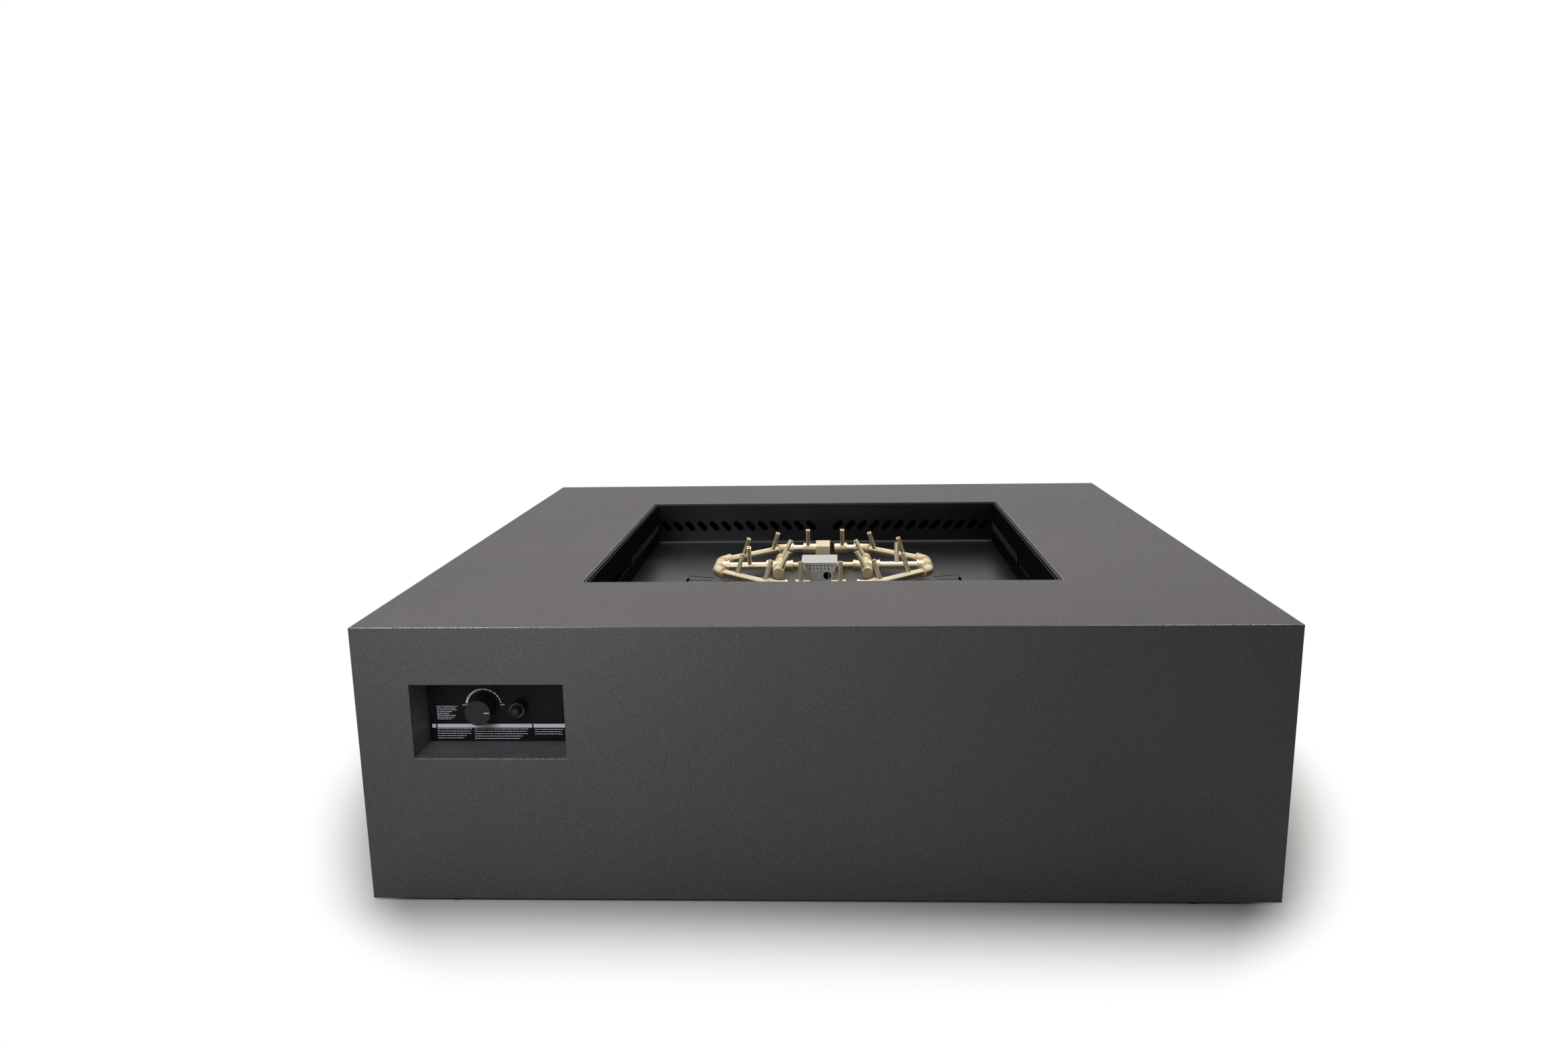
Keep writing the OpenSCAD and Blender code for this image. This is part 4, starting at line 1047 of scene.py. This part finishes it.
class FIREPIT_OT_plate_gas_train(Step, bpy.types.Operator):
    """Finishes the tubes and fittings under the pan"""

    bl_idname = "fire_pit.plate_gas_train"
    bl_label = "Plate the gas train"

    def run(self):
        dress(["inlet_nipple", "inlet_elbow", "orifice_fitting", "supply_fitting"], cast_brass)
        dress(["pan_nuts", "supply_nut"], cast_brass, sizes().fitting_round)
        dress(["air_mixer", "feed_tube", "supply_tube"], zinc_plating)
        dress(["supply_bracket"], frame_coat, sizes().sheet_round)


class FIREPIT_OT_finish_controls(Step, bpy.types.Operator):
    """Finishes the recess, the control plate, the knob, the valve and the igniter"""

    bl_idname = "fire_pit.finish_controls"
    bl_label = "Finish the controls"

    def run(self):
        dress(["recess_box"], recess_coat, sizes().sheet_round)
        dress(["control_plate"], matt_paint, sizes().sheet_round)
        dress(["control_knob"], moulded_plastic, sizes().knob_round, 3)
        dress(["knob_pointer"], white_ink)
        dress(["igniter_cap"], gloss_plastic, sizes().knob_round, 4)
        face = (FORWARD, -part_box("igniter_button")[0].y - FACE_REACH)
        dress(["igniter_button"], moulded_plastic, sizes().button_dome, 8, face)
        dress(["igniter_housing"], moulded_plastic, sizes().sheet_round)
        dress(["igniter_battery"], battery_wrap)
        dress(["valve_body", "valve_plug"], cast_brass, sizes().sheet_round)
        dress(["valve_nut", "igniter_nut"], zinc_plating, sizes().sheet_round)
        dress(["valve_spindle"], zinc_plating)


class FIREPIT_OT_wind_springs(Step, bpy.types.Operator):
    """Winds the springs, which shorten as the knob and the igniter's button are pushed"""

    bl_idname = "fire_pit.wind_springs"
    bl_label = "Wind the springs"

    def run(self):
        for joint in frame["record"]["behaviour"]["joints"]:
            for spring in joint.get("deforming_nodes", ()):
                node = spring["node"]
                low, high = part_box(node)
                work = bmesh.new()
                wound_spring(work, low, high, *SPRINGS[node])
                piece = add_piece("wound_" + node, work, zinc_plating, joint["parent"])
                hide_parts(node)
                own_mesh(piece)


class FIREPIT_OT_print_dial(Step, bpy.types.Operator):
    """Prints the knob's dial, the plain bars and the ruled dashes"""

    bl_idname = "fire_pit.print_dial"
    bl_label = "Print the dial"

    def run(self):
        low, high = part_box("control_knob")
        knob = ((low.x + high.x) / 2, (low.z + high.z) / 2)
        self.print_arc(knob)
        self.print_words(knob)
        self.print_bars(knob)
        self.print_lines(knob)

    def print_arc(self, knob):
        """An arc over the knob that breaks up into shorter and thinner dashes towards the off end."""
        work = bmesh.new()
        ink_arc(work, knob, *ARC_WHOLE)
        start = ARC_DASHES_START
        for dash in ARC_DASHES:
            ink_arc(work, knob, start, start - dash)
            start -= dash + ARC_GAP
        add_ink("dial_arc", work)

    def print_words(self, knob):
        """The words at the arc's two ends."""
        reach = sizes().arc_radius + WORD_OUT
        for word, side in (("HIGH", -1), ("OFF", 1)):
            mesh = ink_word(word, knob[0] + side * reach, knob[1] + WORD_UP)
            add_ink(mesh.name + "_print", mesh)

    def print_bars(self, knob):
        """A row of three plain bars under the controls."""
        plate_low, plate_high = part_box("control_plate")
        z = knob[1] - sizes().bar_drop
        half = sizes().bar_height / 2
        edge = 3.3 * MM
        gap = 2 * MM
        middle_bar = 131 * MM
        first = plate_low.x + edge
        second = first + sizes().bar_height + gap
        third = second + middle_bar + gap
        work = bmesh.new()
        for left, right in ((first, second - gap), (second, third - gap), (third, plate_high.x - edge)):
            ink_shape(work, ((left, z - half), (right, z - half), (right, z + half), (left, z + half)))
        add_ink("plate_bars", work)

    def print_lines(self, knob):
        """Plain ruled dashes, in blocks beside the knob and under the bars."""
        work = bmesh.new()
        for left, right, top, pitch, rows in RULED_BLOCKS:
            for row in range(rows):
                z = knob[1] + top * MM - row * (pitch * MM)
                start = knob[0] + left * MM
                end = knob[0] + right * MM - RAGGED[row % len(RAGGED)] * MM
                count = 0
                while start < end:
                    stop = min(end, start + DASHES[(count + 3 * row) % len(DASHES)] * MM)
                    low = z - sizes().rule
                    ink_shape(work, ((start, low), (stop, low), (stop, z), (start, z)))
                    start = stop + sizes().rule
                    count += 1
        add_ink("plate_lines", work)


class FIREPIT_OT_build_stage(Step, bpy.types.Operator):
    """Builds the floor, the lights and the camera"""

    bl_idname = "fire_pit.build_stage"
    bl_label = "Build the stage"

    def run(self):
        bpy.context.scene.view_settings.view_transform = "Standard"
        stage = bpy.context.scene.fire_pit_stage
        self.lay_floor(stage)
        self.light_room(stage)
        for name, place, target, size, watts, tint in SOFTBOXES:
            self.hang_softbox(name, place, target, size, getattr(stage, watts), getattr(stage, tint))
        self.set_camera()

    def seen_rays(self, finish):
        """1 for rays that show the background, to the camera or in a reflection, and 0 for the others."""
        kinds = ("Is Camera Ray", "Is Glossy Ray", "Is Transmission Ray")
        camera, glossy, through = (finish.node("ShaderNodeLightPath", output=kind) for kind in kinds)
        return finish.node(
            "ShaderNodeMath", {"operation": "ADD", "use_clamp": True}, {0: camera + glossy, 1: through})

    def fade(self, finish, value, start, end):
        """0 up to a start, then a straight rise that reaches 1 at an end."""
        return finish.math("MAXIMUM", (value - start) * (1 / (end - start)), 0)

    def lay_floor(self, stage):
        """A pale floor that is white to the camera away from the table and keeps the table's shadow."""
        work = bmesh.new()
        bmesh.ops.create_grid(work, x_segments=6, y_segments=6, size=FLOOR_HALF)
        mesh = bpy.data.meshes.new("studio_floor")
        work.to_mesh(mesh)
        work.free()
        floor = add_object("studio_floor", mesh)
        finish = Finish("studio_floor")
        seen = self.seen_rays(finish)
        across, deep, _ = finish.split(finish.outward())
        bulge = stage.shadow_bulge * (1 - deep * deep * (1 / cad_high.y ** 2))
        side_start, front_start = SHADOW_START
        sideways = self.fade(finish, across - bulge - cad_high.x, side_start, stage.side_shadow)
        forward = self.fade(finish, deep - cad_high.y, front_start, stage.front_shadow)
        distance = finish.math("SQRT", sideways * sideways + forward * forward)
        whiteness = finish.ramp(distance, 0, 1)
        paint = finish.node("ShaderNodeBsdfDiffuse", inputs={
            "Color": finish.mix(seen, (stage.floor_grey,) * 3, FLOOR_PAINT)})
        glow = finish.node("ShaderNodeEmission", inputs={"Color": (1, 1, 1, 1), "Strength": 1.0})
        blend = finish.node("ShaderNodeMixShader", inputs={0: seen * whiteness, 1: paint, 2: glow})
        end = finish.tree.nodes["Material Output"]
        finish.feed(end.inputs["Surface"], blend)
        mesh.materials.append(finish.material)

    def light_room(self, stage):
        """A white room to the camera and in reflections, and a weak even light for the rest."""
        world = bpy.data.worlds.new("studio_room")
        bpy.context.scene.world = world
        world.use_nodes = True
        room = Graph(world.node_tree)
        seen = self.seen_rays(room)
        camera = room.node("ShaderNodeLightPath", output="Is Camera Ray")
        _, backward, _ = room.split(room.node("ShaderNodeTexCoord", output="Generated"))
        sweep = stage.room_front + (1 - stage.room_front) * room.ramp(backward, -0.3, 0.5)
        shown = camera + (1 - camera) * sweep
        strength = stage.ambient + (shown - stage.ambient) * seen
        sockets = room.tree.nodes["Background"].inputs
        room.feed(sockets["Color"], (1, 1, 1, 1))
        room.feed(sockets["Strength"], strength)

    def hang_softbox(self, name, place, target, size, watts, tint):
        """A square area light at a place, turned to a target."""
        lamp = bpy.data.lights.new(name, "AREA")
        lamp.shape = "SQUARE"
        lamp.size = size
        lamp.energy = watts
        lamp.color = tint
        softbox = add_object(name, lamp)
        softbox.visible_camera = False
        softbox.location = place
        softbox.rotation_euler = (Vector(target) - Vector(place)).to_track_quat("-Z", "Y").to_euler()

    def set_camera(self):
        """The camera that fits the photograph's edges."""
        data = bpy.data.cameras.new("photo_camera")
        data.sensor_width = SENSOR_W
        data.lens = FOCAL_PIXELS * SENSOR_W / IMAGE_W
        data.shift_x = (IMAGE_W / 2 - CENTRE_PIXEL[0]) / IMAGE_W
        data.shift_y = (CENTRE_PIXEL[1] - IMAGE_H / 2) / IMAGE_W
        camera = add_object("photo_camera", data)
        ahead = Matrix(((1, 0, 0), (0, 0, -1), (0, 1, 0)))
        pitch = Matrix.Rotation(CAMERA_PITCH, 3, "X")
        yaw = Matrix.Rotation(CAMERA_YAW, 3, "Y")
        roll = Matrix.Rotation(CAMERA_ROLL, 3, "Z")
        right, down, forward = roll @ yaw @ pitch @ ahead
        axes = Matrix((right, -down, -forward)).transposed()
        camera.matrix_world = Matrix.Translation(CAMERA_PLACE) @ axes.to_4x4()
        bpy.context.scene.camera = camera


OPERATORS = (
    FIREPIT_OT_coat_shell, FIREPIT_OT_coat_frame, FIREPIT_OT_paint_pan, FIREPIT_OT_tack_pan,
    FIREPIT_OT_polish_burner, FIREPIT_OT_cut_threads, FIREPIT_OT_brush_igniter_box,
    FIREPIT_OT_plate_gas_train, FIREPIT_OT_finish_controls, FIREPIT_OT_wind_springs, FIREPIT_OT_print_dial,
    FIREPIT_OT_build_stage)


class FIREPIT_PT_looks(bpy.types.Panel):
    """Settings and steps of the fire pit table's looks"""

    bl_label = "Fire Pit Table"
    bl_space_type = "VIEW_3D"
    bl_region_type = "UI"
    bl_category = "Fire Pit"

    def draw(self, context):
        for name, group in GROUPS.items():
            box = self.layout.box()
            for setting in group.__annotations__:
                box.prop(getattr(context.scene, name), setting)
        for operator in OPERATORS:
            self.layout.operator(operator.bl_idname)


CLASSES = (*GROUPS.values(), *OPERATORS, FIREPIT_PT_looks)


def register():
    """Adds the settings, steps and panel to Blender."""
    for made in CLASSES:
        bpy.utils.register_class(made)
    for name, group in GROUPS.items():
        setattr(bpy.types.Scene, name, PointerProperty(type=group))


def unregister():
    """Takes the settings, steps and panel out of Blender."""
    for name in GROUPS:
        delattr(bpy.types.Scene, name)
    for made in reversed(CLASSES):
        bpy.utils.unregister_class(made)


def main():
    """Runs every step in order."""
    register()
    for operator in OPERATORS:
        group, step = operator.bl_idname.split(".")
        getattr(getattr(bpy.ops, group), step)()


if __name__ == "__main__":
    main()
